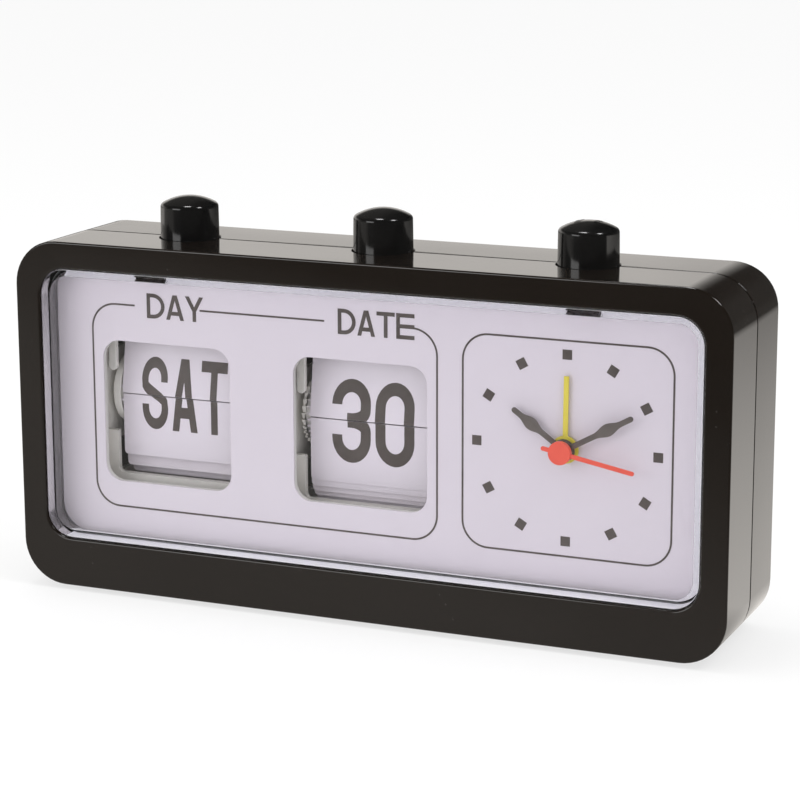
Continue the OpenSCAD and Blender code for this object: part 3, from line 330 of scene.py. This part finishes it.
def clear_plastic():
    """Clear moulding of the lens: shadow and diffuse rays pass straight through, so light reaches
    the card, and the walls' frosted ends and painted white glare stay bright.
    """
    material, tree, shader, vector = start_material(
        "lens_clear", Base_Color=(0.985, 0.985, 1.0, 1), Transmission_Weight=1.0, IOR=1.49)
    rough = put_group(tree, WIPES, vector, Smooth=0.01, Smeared=0.03)
    tree.links.new(rough, shader.inputs["Roughness"])
    through = tree.nodes.new("ShaderNodeBsdfTransparent")
    through.inputs["Color"].default_value = (0.93, 0.93, 0.95, 1)
    rays = tree.nodes.new("ShaderNodeLightPath").outputs
    unseen = math_node(tree, "MAXIMUM", rays["Is Shadow Ray"], rays["Is Diffuse Ray"])
    mixed_surface(tree, unseen, shader.outputs[0], through.outputs[0])
    return material


CASE_TONES = (0.0106, 0.0078, 0.0058), (0.0123, 0.0093, 0.0072)
FINISH = {
    "case": finish_of("case_gloss_black", *CASE_TONES, 0.10, 0.17, 30.0, (700.0, 0.008), 0.4,
                      Coat_Weight=0.65, Coat_Roughness=0.05, IOR=1.52),
    "case_rear": finish_of("case_gloss_black_rear", *CASE_TONES, 0.10, 0.16, 30.0, (700.0, 0.008),
                           0.4, Coat_Weight=0.45, Coat_Roughness=0.05, IOR=1.52),
    "button": finish_of("button_polished_black", (0.006, 0.006, 0.006), (0.009, 0.0085, 0.008),
                        0.13, 0.2, 60.0, (500.0, 0.01), 0.35, Coat_Weight=0.5,
                        Coat_Roughness=0.10),
    "feet": finish_of("feet_rubber", (0.03, 0.029, 0.028), (0.045, 0.043, 0.04), 0.75, 0.9, 120.0,
                      (1600.0, 0.12)),
    "lens": clear_plastic(),
    # flat white: frosted ends of the lens walls, and painted glare that whitens the walls' outsides
    # at the top, right and bottom in place of the bright bands light makes there
    "lens_end_and_painted_glare": finish_of("lens_frosted_end_painted_glare", (0.90, 0.90, 0.91), (0.87, 0.87, 0.89), 0.5, 0.6,
                          60.0, (1500.0, 0.02)),
    "card": finish_of("dial_card_white", (0.755, 0.70, 0.74), (0.74, 0.68, 0.725), 0.42, 0.5, 14.0,
                      (1800.0, 0.015)),
    "ink": finish_of("print_ink_brown", (0.088, 0.070, 0.060), (0.108, 0.090, 0.079), 0.5, 0.65,
                     200.0, (2500.0, 0.05)),
    "leaf": finish_of("leaf_printed_sheet", (0.86, 0.80, 0.85), (0.83, 0.77, 0.82), 0.40, 0.5, 25.0,
                      (1500.0, 0.02)),
    "ivory": finish_of("mechanism_ivory", (0.88, 0.86, 0.80), (0.83, 0.81, 0.75), 0.35, 0.45, 60.0,
                       (700.0, 0.04)),
    "plate": finish_of("plate_white_moulding", (0.80, 0.79, 0.74), (0.75, 0.74, 0.69), 0.4, 0.5,
                       50.0, (700.0, 0.04)),
    "steel": finish_of("plated_steel", (0.62, 0.62, 0.61), (0.52, 0.52, 0.51), 0.25, 0.4, 150.0,
                       (1200.0, 0.03), Metallic=1.0),
    "wheel": finish_of("wheel_acetal", (0.74, 0.68, 0.52), (0.68, 0.62, 0.47), 0.35, 0.45, 150.0,
                       (900.0, 0.03)),
    "copper": finish_of("enamelled_copper", (0.60, 0.24, 0.10), (0.45, 0.16, 0.07), 0.25, 0.4,
                        300.0, (3500.0, 0.3), Metallic=1.0),
    "board": finish_of("board_green", (0.05, 0.20, 0.08), (0.04, 0.16, 0.065), 0.35, 0.5, 200.0,
                       (900.0, 0.05)),
    "brass": finish_of("sounder_brass", (0.72, 0.53, 0.22), (0.62, 0.44, 0.18), 0.25, 0.4, 120.0,
                       (900.0, 0.03), Metallic=1.0),
    "magnet": finish_of("rotor_magnet", (0.14, 0.15, 0.16), (0.10, 0.105, 0.11), 0.4, 0.5, 300.0,
                        (1200.0, 0.05)),
    "switch": finish_of("switch_black", (0.03, 0.03, 0.03), (0.045, 0.045, 0.045), 0.45, 0.6,
                        120.0, (1100.0, 0.06)),
    "cell": finish_of("cell_wrap", (0.22, 0.22, 0.24), (0.17, 0.17, 0.19), 0.25, 0.35, 60.0,
                      (600.0, 0.02)),
    "hand_dark": finish_of("hand_dark", (0.115, 0.10, 0.085), (0.14, 0.12, 0.105), 0.38, 0.5,
                           250.0, (1500.0, 0.03)),
    "hand_yellow": finish_of("hand_yellow", (0.80, 0.68, 0.08), (0.76, 0.64, 0.07), 0.38, 0.5,
                             250.0, (1500.0, 0.03)),
    "hand_red": finish_of("hand_red", (0.87, 0.115, 0.07), (0.82, 0.10, 0.06), 0.35, 0.48, 250.0,
                          (1500.0, 0.03)),
}

# node, or a node's ending -> finish, and width of its softened edges
DRESS = {
    "front_bezel": ("case", 0.12), "rear_cover": ("case_rear", 0.2), "feet": ("feet", 0.2),
    "battery_door": ("case", 0.12), "time_knob": ("case", 0.15), "alarm_knob": ("case", 0.15),
    "lens": ("lens", 0.12), "dial_card": ("card", 0.05), "dial_print": ("ink", 0),
    "dial_plate": ("plate", 0.1), "alarm_switch": ("switch", 0.1), "circuit_board": ("board", 0.1),
    "coil": ("copper", 0.1), "stator": ("steel", 0.05), "rotor": ("magnet", 0.05),
    "buzzer": ("brass", 0.2), "battery": ("cell", 0.5), "movement_front": ("ivory", 0.2),
    "movement_back": ("ivory", 0.2), "second_hand": ("hand_red", 0.08),
    "minute_hand": ("hand_dark", 0.08), "hour_hand": ("hand_dark", 0.08),
    "alarm_hand": ("hand_yellow", 0.08), "contact_plus": ("steel", 0.1),
    "_button": ("button", 0.12), "_frame": ("ivory", 0.25), "_pawl": ("ivory", 0.2),
    "_drum": ("ivory", 0.12), "_ratchet": ("ivory", 0.05), "_leaves": ("leaf", 0.03),
    "_flap": ("leaf", 0.03), "_axle": ("steel", 0.1), "_click": ("steel", 0.03),
    "_spring": ("steel", 0), "_screws": ("steel", 0.1), "_wheel": ("wheel", 0.04),
}


def dress_of(node):
    if node in DRESS:
        return DRESS[node]
    return next(DRESS[end] for end in DRESS if end[0] == "_" and node.endswith(end))


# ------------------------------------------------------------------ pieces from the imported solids
def smooth_by_angle(bm):
    for face in bm.faces:
        face.smooth = True
    limit = math.radians(SMOOTH_TURN)
    for edge in bm.edges:
        edge.smooth = len(edge.link_faces) == 2 and edge.calc_face_angle(0) < limit


def join_flat(bm):
    bmesh.ops.dissolve_limit(bm, angle_limit=math.radians(FLAT_TURN), verts=bm.verts,
                             edges=bm.edges)


def new_piece(name, bm, finish, body):
    mesh = bpy.data.meshes.new(name)
    bm.to_mesh(mesh)
    bm.free()
    piece = bpy.data.objects.new(name, mesh)
    bpy.context.scene.collection.objects.link(piece)
    mesh.materials.append(FINISH[finish])
    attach(piece, body)
    return piece


def soften(piece, width, clamp):
    """Rounds a piece's sharp edges. clamp keeps narrow faces from crossing."""
    bevel = piece.modifiers.new("soft_edges", "BEVEL")
    bevel.width = width * MM
    bevel.segments = 2
    bevel.limit_method = "ANGLE"
    bevel.angle_limit = math.radians(SOFT_TURN)
    bevel.use_clamp_overlap = clamp


def flatten_shading(piece):
    """Keeps large flat faces flat in their reflections; the arcs between them take the turn."""
    weighted = piece.modifiers.new("flat_faces", "WEIGHTED_NORMAL")
    weighted.mode = "FACE_AREA"
    weighted.weight = 80
    weighted.keep_sharp = True


def outline_move(vertex, half, middle, radius, grow):
    """Moves a vertex of a rounded rectangle's outline outwards by grow, and says whether it was
    one. half is half the rectangle's width and height, and middle its middle's height."""
    x, z = vertex.co.x / MM, height_of(vertex.co) - middle
    away = Vector((max(abs(x) - half[0] + radius, 0), max(abs(z) - half[1] + radius, 0)))
    if abs(away.length - radius) > OUTLINE_SLACK:
        return False
    away = away.normalized() * grow
    vertex.co += mm(math.copysign(away.x, x), 0, math.copysign(away.y, z))
    return True


def rear_ring(depth):
    """The values of REAR_RINGS at a depth, or None before the first ring and past the last."""
    for near, far in zip(REAR_RINGS, REAR_RINGS[1:]):
        if near[0] - 1e-3 <= depth <= far[0] + 1e-3:
            share = min(1, max(0, (depth - near[0]) / (far[0] - near[0])))
            return [a + (b - a) * share for a, b in zip(near[1:], far[1:])]
    return None


def fill_rear(bm):
    """Brings the rear shell's outside flush with the front shell's at the parting line, and
    opens that line a little at the surface."""
    for vertex in bm.verts:
        depth = depth_of(vertex.co)
        ring = rear_ring(depth)
        if ring is None:
            continue
        inset, radius_loss, drawn = ring
        half = [side - inset for side in CASE_HALF]
        moved = outline_move(vertex, half, CASE_HALF[1], CORNER_R - radius_loss, inset - drawn)
        if moved and depth < PARTING_Y:
            vertex.co.y += PARTING_OPEN * MM


def taper_lens(bm):
    """Tapers the lens's side walls from the inside. Their ends, and their outsides at the top,
    right and bottom, take the piece's second material: frosted white on the ends, and painted
    glare on those outsides for the bright bands of light in the clear walls. The left side stays
    clear."""
    for vertex in bm.verts:
        depth = depth_of(vertex.co)
        if depth > LENS_WALL_Y[0]:
            outline_move(vertex, LENS_CAVITY, LENS_MIDDLE, LENS_CAVITY_R, LENS_FLARE)
        if SLOT_Y[0] < depth < SLOT_Y[1] and height_of(vertex.co) < SLOT_FLOOR:
            vertex.co.z += SLOT_RAISE * MM
    for face in bm.faces:
        middle, normal = face.calc_center_median(), face.normal
        outwards = normal.x * middle.x / MM + normal.z * (height_of(middle) - LENS_MIDDLE) > 0
        outside = outwards and abs(normal.y) < 0.5 and normal.x > -0.3
        if outside or (normal.y > 0.9 and depth_of(middle) > LENS_WALL_Y[1]):
            face.material_index = 1


RESHAPE = {"rear_cover": fill_rear, "lens": taper_lens}


def dressed(node):
    """A node's solid with merged vertices, flat faces joined, smooth curves and softened edges."""
    finish, edge = dress_of(node)
    bm = bmesh.new()
    bm.from_mesh(NODES[node].data)
    bmesh.ops.remove_doubles(bm, verts=bm.verts, dist=2e-6)
    bmesh.ops.dissolve_degenerate(bm, edges=bm.edges, dist=1e-6)
    join_flat(bm)
    if node in RESHAPE:
        bm.normal_update()
        RESHAPE[node](bm)
    smooth_by_angle(bm)
    piece = new_piece(node + "_skin", bm, finish, NODES[node]["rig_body"])
    # the lens's second material: white frosted wall ends and painted glare on the walls' outsides
    if node == "lens":
        piece.data.materials.append(FINISH["lens_end_and_painted_glare"])
    if edge:
        soften(piece, edge, node.endswith("_frame"))
    flatten_shading(piece)
    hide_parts(node)
    return piece


# ------------------------------------------------------------------ lettering
def arc(cx, cz, rx, rz, start, end, count=14):
    """Points of an ellipse's arc, angles in degrees from +X towards +Z."""
    turns = [math.radians(start + (end - start) * i / count) for i in range(count + 1)]
    return [(cx + rx * math.cos(a), cz + rz * math.sin(a)) for a in turns]


def spine(x0, z0, x1, z1, count=10):
    """The easy double curve in the middle of an S."""
    return [(x0 + (x1 - x0) * (1 - math.cos(math.pi * i / count)) / 2, z0 + (z1 - z0) * i / count)
            for i in range(count + 1)]


def strokes(letter, w, h, t):
    """Centre lines of a letter that fills a box w by h with a stroke t. Straight bars with level
    ends are ("bar", x0, z0, x1, z1); ("line", points) keeps its ends square to itself."""
    c = t / 2
    rx = w / 2 - c
    rz = min(h * 0.22, rx * 1.25)
    top, low = h - c - rz, c + rz
    if letter == "S":
        path = [(w - c, h * 0.66)] + arc(w / 2, top, rx, rz, 0, 180)
        path += spine(c, h * 0.64, w - c, h * 0.36)[1:-1] + arc(w / 2, low, rx, rz, 0, -180)
        return [("line", path + [(c, h * 0.345)])]
    if letter == "A":
        foot = t * 0.56
        return [("bar", foot, 0, w / 2 - t * 0.1, h), ("bar", w - foot, 0, w / 2 + t * 0.1, h),
                ("line", [(w * 0.22, h * 0.26), (w * 0.78, h * 0.26)])]
    if letter == "T":
        return [("bar", w / 2, 0, w / 2, h), ("line", [(0, h - c), (w, h - c)])]
    if letter == "U":
        return [("line", [(c, h)] + arc(w / 2, low, rx, rz, 180, 360) + [(w - c, h)])]
    if letter == "N":
        return [("bar", c, 0, c, h), ("bar", w - c, 0, w - c, h), ("bar", w - c, 0, c, h)]
    if letter in "0O":
        ring = arc(w / 2, top, rx, rz, 0, 180) + arc(w / 2, low, rx, rz, 180, 360)
        return [("ring", ring)]
    if letter == "3":
        upper = [(c, h * 0.69)] + arc(w / 2, top, rx, rz, 180, 0)
        upper += arc(w / 2, h * 0.635, rx, h * 0.115, 0, -90, 8) + [(w * 0.40, h * 0.52)]
        lower = [(w * 0.40, h * 0.50)] + arc(w / 2, h * 0.385, rx, h * 0.115, 90, 0, 8)
        lower += arc(w / 2, low, rx, rz, 0, -180) + [(c, h * 0.33)]
        return [("line", upper), ("line", lower)]
    if letter == "1":
        return [("bar", w * 0.62, 0, w * 0.62, h), ("bar", w * 0.2, h * 0.74, w * 0.55, h)]
    if letter == "D":
        bow = arc(w * 0.35, h / 2, w * 0.65 - c, h / 2 - c, 90, -90)
        return [("bar", c, 0, c, h), ("line", [(0, h - c), (w * 0.35, h - c)] + bow + [(0, c)])]
    if letter == "Y":
        return [("bar", c * 1.1, h, w / 2, h * 0.42), ("bar", w - c * 1.1, h, w / 2, h * 0.42),
                ("bar", w / 2, 0, w / 2, h * 0.46)]
    arms = {"E": (c, h / 2, h - c), "F": (h / 2, h - c)}[letter]
    return [("bar", c, 0, c, h)] + [("line", [(0, z), (w, z)]) for z in arms]


def stroke_solid(kind, spec, t):
    """Closed solid of one stroke, in the XZ plane, from y = -PRINT_T to 0."""
    bm = bmesh.new()
    if kind == "bar":
        x0, z0, x1, z1 = spec
        half = t / 2 * math.hypot(x1 - x0, z1 - z0) / abs(z1 - z0)
        sides = [[(x0 - half, z0), (x1 - half, z1)], [(x0 + half, z0), (x1 + half, z1)]]
    else:
        points = [Vector((x, 0, z)) for x, z in spec]
        points = [p for i, p in enumerate(points) if i == 0 or (p - points[i - 1]).length > 1e-6]
        sides = [[], []]
        last = len(points) - 1
        for i, p in enumerate(points):
            before = points[i - 1] if kind == "ring" or i else p
            after = points[(i + 1) % (last + 1)] if kind == "ring" or i < last else p
            along = (after - p).normalized() + (p - before).normalized()
            across = Vector((-along.z, 0, along.x)).normalized() * t / 2
            sides[0].append((p.x + across.x, p.z + across.z))
            sides[1].append((p.x - across.x, p.z - across.z))
    rows = [[bm.verts.new((x, 0, z)) for x, z in side] for side in sides]
    count = len(rows[0])
    for i in range(count if kind == "ring" else count - 1):
        k = (i + 1) % count
        bm.faces.new((rows[0][i], rows[0][k], rows[1][k], rows[1][i]))
    made = bmesh.ops.extrude_face_region(bm, geom=bm.faces[:])
    moved = [v for v in made["geom"] if isinstance(v, bmesh.types.BMVert)]
    bmesh.ops.translate(bm, verts=moved, vec=(0, -PRINT_T, 0))
    bmesh.ops.recalc_face_normals(bm, faces=bm.faces[:])
    return bm


def united(solids):
    """One mesh, in a bmesh, from overlapping solids."""
    objects = []
    for bm in solids:
        mesh = bpy.data.meshes.new("stroke")
        bm.to_mesh(mesh)
        bm.free()
        objects.append(bpy.data.objects.new("stroke", mesh))
        bpy.context.scene.collection.objects.link(objects[-1])
    for other in objects[1:]:
        join = objects[0].modifiers.new("join", "BOOLEAN")
        join.operation = "UNION"
        join.solver = "EXACT"
        join.object = other
    graph = bpy.context.evaluated_depsgraph_get()
    result = bmesh.new()
    result.from_object(objects[0], graph)
    for made in objects:
        bpy.data.meshes.remove(made.data)
    return result


def lettering(text, x, z, stroke, gap, squeeze=1.0):
    """A word between x[0] and x[1] and from z[0] to z[1], as one bmesh in millimetres. A 1 is
    narrower than the other letters. Upright strokes are drawn squeeze times as wide as
    level ones, as in a condensed face."""
    shares = [0.62 if letter == "1" else 1.0 for letter in text]
    unit = (x[1] - x[0] - gap * (len(text) - 1)) / sum(shares)
    word = bmesh.new()
    at = x[0]
    for letter, share in zip(text, shares):
        parts = [stroke_solid(part[0], part[1:] if part[0] == "bar" else part[1], stroke)
                 for part in strokes(letter, unit * share / squeeze, z[1] - z[0], stroke)]
        solid = united(parts)
        bmesh.ops.scale(solid, vec=(squeeze, 1, 1), verts=solid.verts)
        bmesh.ops.translate(solid, verts=solid.verts, vec=(at, 0, z[0]))
        scratch = bpy.data.meshes.new("letter")
        solid.to_mesh(scratch)
        solid.free()
        word.from_mesh(scratch)
        bpy.data.meshes.remove(scratch)
        at += unit * share + gap
    join_flat(word)
    return word


def keep_side(bm, z, upper):
    """Cuts a word at height z and closes it, keeping one side."""
    geom = bm.verts[:] + bm.edges[:] + bm.faces[:]
    cut = bmesh.ops.bisect_plane(bm, geom=geom, plane_co=(0, 0, z), plane_no=(0, 0, 1),
                                 clear_inner=upper, clear_outer=not upper)
    edges = [e for e in cut["geom_cut"] if isinstance(e, bmesh.types.BMEdge)]
    bmesh.ops.holes_fill(bm, edges=edges)


def ink_piece(name, bm, transform, body):
    """A printed piece from a drawing in millimetres and the matrix that puts it in its place."""
    bmesh.ops.transform(bm, matrix=transform, verts=bm.verts)
    bmesh.ops.scale(bm, vec=(MM, MM, MM), verts=bm.verts)
    smooth_by_angle(bm)
    new_piece(name, bm, "ink", body)


def from_face(x, y, z):
    """Matrix, in millimetres, that puts a drawing's origin at a point of the case."""
    return Matrix.Translation((x, y + FACE_Y, z + UNDER_Z))


# ------------------------------------------------------------------ calendar print
def ear(n, k):
    """Depth and height over the seam of leaf k's ears."""
    turn = 2 * math.pi / n * (k + 0.5)
    return DRUM_Y - EAR_R * math.cos(turn), EAR_R * math.sin(turn)


def tilt(degrees):
    """Leans a leaf's top backwards."""
    return Matrix.Rotation(math.radians(-degrees), 4, "X")


def calendar_print(unit, n, seam, leans, words, spread, rise, stroke, squeeze, gap):
    """Prints the first word over the showing leaf and the one below it, and the second on the
    leaf behind and on the back of the showing leaf. n is the number of leaves, seam the height
    of the slit between them, and leans are the showing leaf's and the next one's, in degrees.
    spread and rise are the word's reach to each side, and down and up from the seam."""
    def word(text, upper, shift=0.0):
        bm = lettering(text, spread, rise, stroke, gap, squeeze)
        edge = SEAM_GAP + PRINT_CLEAR
        keep_side(bm, edge if upper else -edge, upper)
        bmesh.ops.translate(bm, verts=bm.verts, vec=(0, 0, -shift))
        return bm

    x = middle_x(unit + "_flap")
    front = -LEAF_T / 2 - PRINT_LIFT
    on_front = Matrix.Translation((0, front, 0))
    on_back = Matrix.Translation((0, -front, 0))
    ear_y, ear_z = ear(n, 0)
    flap = from_face(x, ear_y - FLAP_SHIFT, seam + ear_z) @ tilt(leans[0])
    ink_piece(unit + "_print_upper", word(words[0], True, ear_z), flap @ on_front, unit + "_flap")
    low_y = ear(n, n - 1)[0]
    ink_piece(unit + "_print_lower", word(words[0], False),
              from_face(x, low_y + front, seam), "case")
    # the back of the showing leaf carries the next word's lower half, upside down until it falls
    turned = Matrix.Diagonal((1, -1, -1, 1))
    ink_piece(unit + "_print_back", word(words[1], False, -ear_z), flap @ on_back @ turned,
              unit + "_flap")
    next_y, next_z = ear(n, 1)
    behind = from_face(x, next_y, seam + next_z) @ tilt(leans[1])
    ink_piece(unit + "_print_next", word(words[1], True, ear_z), behind @ on_front, "case")


# ------------------------------------------------------------------ button legend
def legend(text, x, length):
    """A small raised word on the alarm button's dome. It runs to the back, its letters' tops to
    the left, and starts at x from the button's axis."""
    bm = lettering(text, (-length / 2, length / 2), (0, LEGEND_HEIGHT), LEGEND_STROKE, LEGEND_GAP)
    low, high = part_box("alarm_button")
    for vertex in bm.verts:
        over = LEGEND_RAISED if vertex.co.y < -PRINT_T / 2 else -LEGEND_ROOT
        at = Vector((x - vertex.co.z, vertex.co.x))
        dome = CROWN_TOP + UNDER_Z - CROWN_R + math.sqrt(CROWN_R ** 2 - at.length_squared)
        vertex.co = mm(at.x, at.y, dome + over)
        vertex.co.xy += (low.xy + high.xy) / 2
    smooth_by_angle(bm)
    new_piece("legend_" + text.lower(), bm, "button", NODES["alarm_button"]["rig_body"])


# ------------------------------------------------------------------ build
SKINS = {node: dressed(node) for node in NODES}

# each return spring's skin gets a mesh of its own
for unit in ("day", "date", "alarm"):
    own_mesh(SKINS[unit + "_spring"])

for title, text, reach in (("day_title", "DAY", (-58.7, -43.4)),
                           ("date_title", "DATE", (-8.1, 11.4))):
    ink_piece(title, lettering(text, reach, TITLE_Z, TITLE_STROKE, TITLE_GAP),
              from_face(0, CARD_Y, 0), "case")

calendar_print("day", n=14, seam=45.9, leans=(9.0, 9.43), words=("SAT", "SUN"),
               spread=(-11.2, 12.2), rise=(-8.5, 9.7), stroke=2.75, squeeze=0.66, gap=1.0)
calendar_print("date", n=31, seam=44.4, leans=(8.0, 8.26), words=("30", "31"),
               spread=(-10.8, 10.6), rise=(-10.4, 10.1), stroke=3.2, squeeze=0.82, gap=1.2)
legend("ON", -1.7, 3.4)
legend("OFF", 3.0, 4.6)


# ------------------------------------------------------------------ stage, light and camera
# Lengths are in metres from here on.
AMBIENT = 0.97               # level of the soft light from all round
WHITE = (1, 1, 1, 1)
WARM = (1, 0.957, 0.905, 1)  # cast of what the gloss mirrors
FLOOR_GLOW = 0.7             # share of the floor, as the camera sees it, that is plain white
FLOOR_DROP = 0.0002          # how far the floor lies under the feet
AIM = (0, 0, 0.05)           # the lamps point here
# lamp -> place, width and height, power in watts
LAMPS = {
    "top_lamp": ((-0.11, -0.05, 1.04), (0.34, 0.2), 2.2),
    "right_lamp": ((0.62, -0.15, 0.83), (0.2, 0.26), 2.0),
    "left_softbox": ((-0.48, -0.83, 0.26), (0.55, 0.38), 1.4),
}
# the photograph's camera, solved from the case's edges, windows and hour marks
CAMERA_PLACE = (0.2447, -0.5632, 0.1914)
CAMERA_LOOK = (-0.38435, 0.89574, -0.22346)
CAMERA_ROLL = -0.17          # degrees
CAMERA_LENS = 119.07         # for a sensor 36 mm wide


def floor_material():
    """White paper. The camera sees it as nearly plain white with the object's shadow. Mirroring
    surfaces see it bright close behind the object, and dim far off and in front."""
    material, tree, shader, vector = start_material(
        "floor_paper", Roughness=0.9, Base_Color=(0.92, 0.92, 0.92, 1))
    axes = split_axes(tree, vector)
    behind = ramp(tree, axes["Y"], -0.03, 0.03)
    slant = math_node(tree, "SUBTRACT", axes["Y"], math_node(tree, "MULTIPLY", axes["X"], 0.8))
    mirrored = math_node(tree, "MAXIMUM", behind, ramp(tree, slant, -0.28, -0.06, 0.04, 0.30))
    near = ramp(tree, axes["Y"], 0.03, 0.62, 1.0, 0.07)
    mirrored = math_node(tree, "MULTIPLY", mirrored, near)
    rays = tree.nodes.new("ShaderNodeLightPath").outputs
    loss = math_node(tree, "MULTIPLY", rays["Is Glossy Ray"],
                     math_node(tree, "SUBTRACT", 1.0, mirrored))
    glow = tree.nodes.new("ShaderNodeEmission")
    tree.links.new(math_node(tree, "SUBTRACT", 1.0, loss), glow.inputs["Strength"])
    tree.links.new(mix_colour(tree, rays["Is Glossy Ray"], WHITE, WARM), glow.inputs["Color"])
    seen = math_node(tree, "MAXIMUM", rays["Is Glossy Ray"], rays["Is Transmission Ray"],
                     math_node(tree, "MULTIPLY", rays["Is Camera Ray"], FLOOR_GLOW))
    mixed_surface(tree, seen, shader.outputs[0], glow.outputs[0])
    return material


def make_floor():
    bm = bmesh.new()
    bmesh.ops.create_grid(bm, x_segments=8, y_segments=8, size=6.0)
    mesh = bpy.data.meshes.new("floor")
    bm.to_mesh(mesh)
    bm.free()
    floor = bpy.data.objects.new("floor", mesh)
    bpy.context.scene.collection.objects.link(floor)
    floor.location.z = -FLOOR_DROP
    mesh.materials.append(floor_material())


def make_world():
    """White to the camera and through the lens. Mirroring surfaces see a white backdrop low down
    behind the object's left, and a dim room elsewhere."""
    world = bpy.data.worlds.new("studio")
    bpy.context.scene.world = world
    world.use_nodes = True
    tree = world.node_tree
    back = tree.nodes["Background"]
    axes = split_axes(tree, tree.nodes.new("ShaderNodeTexCoord").outputs["Generated"])
    low_down = ramp(tree, axes["Z"], 0.38, 0.22, 0.07, 0.8)
    leftwards = ramp(tree, axes["X"], -0.08, -0.30, 0.07, 1.0)
    backwards = ramp(tree, axes["Y"], -0.3, 0.3, 0.1, 1.0)
    mirrored = math_node(tree, "MULTIPLY", low_down, leftwards, backwards)
    rays = tree.nodes.new("ShaderNodeLightPath").outputs
    ambient = math_node(tree, "MULTIPLY", rays["Is Diffuse Ray"], AMBIENT)
    glossy = math_node(tree, "MULTIPLY", rays["Is Glossy Ray"], mirrored)
    clear = math_node(tree, "MAXIMUM", rays["Is Camera Ray"], rays["Is Transmission Ray"])
    tree.links.new(math_node(tree, "MAXIMUM", ambient, glossy, clear), back.inputs["Strength"])
    tree.links.new(mix_colour(tree, rays["Is Glossy Ray"], WHITE, WARM), back.inputs["Color"])


def make_lamp(name, place, size, power):
    data = bpy.data.lights.new(name, "AREA")
    data.shape = "RECTANGLE"
    data.size, data.size_y = size
    data.energy = power
    lamp = bpy.data.objects.new(name, data)
    bpy.context.scene.collection.objects.link(lamp)
    lamp.location = place
    lamp.rotation_euler = (Vector(AIM) - Vector(place)).to_track_quat("-Z", "Y").to_euler()


def make_camera():
    data = bpy.data.cameras.new("camera")
    data.lens = CAMERA_LENS
    data.sensor_width = 36.0
    data.clip_start = 0.01
    camera = bpy.data.objects.new("camera", data)
    bpy.context.scene.collection.objects.link(camera)
    camera.location = CAMERA_PLACE
    level = Vector(CAMERA_LOOK).to_track_quat("-Z", "Y")
    roll = Quaternion((0, 0, 1), math.radians(CAMERA_ROLL))
    camera.rotation_euler = (level @ roll).to_euler()
    bpy.context.scene.camera = camera


make_floor()
make_world()
for lamp_name, lamp_values in LAMPS.items():
    make_lamp(lamp_name, *lamp_values)
make_camera()
bpy.context.scene.view_settings.view_transform = "Standard"
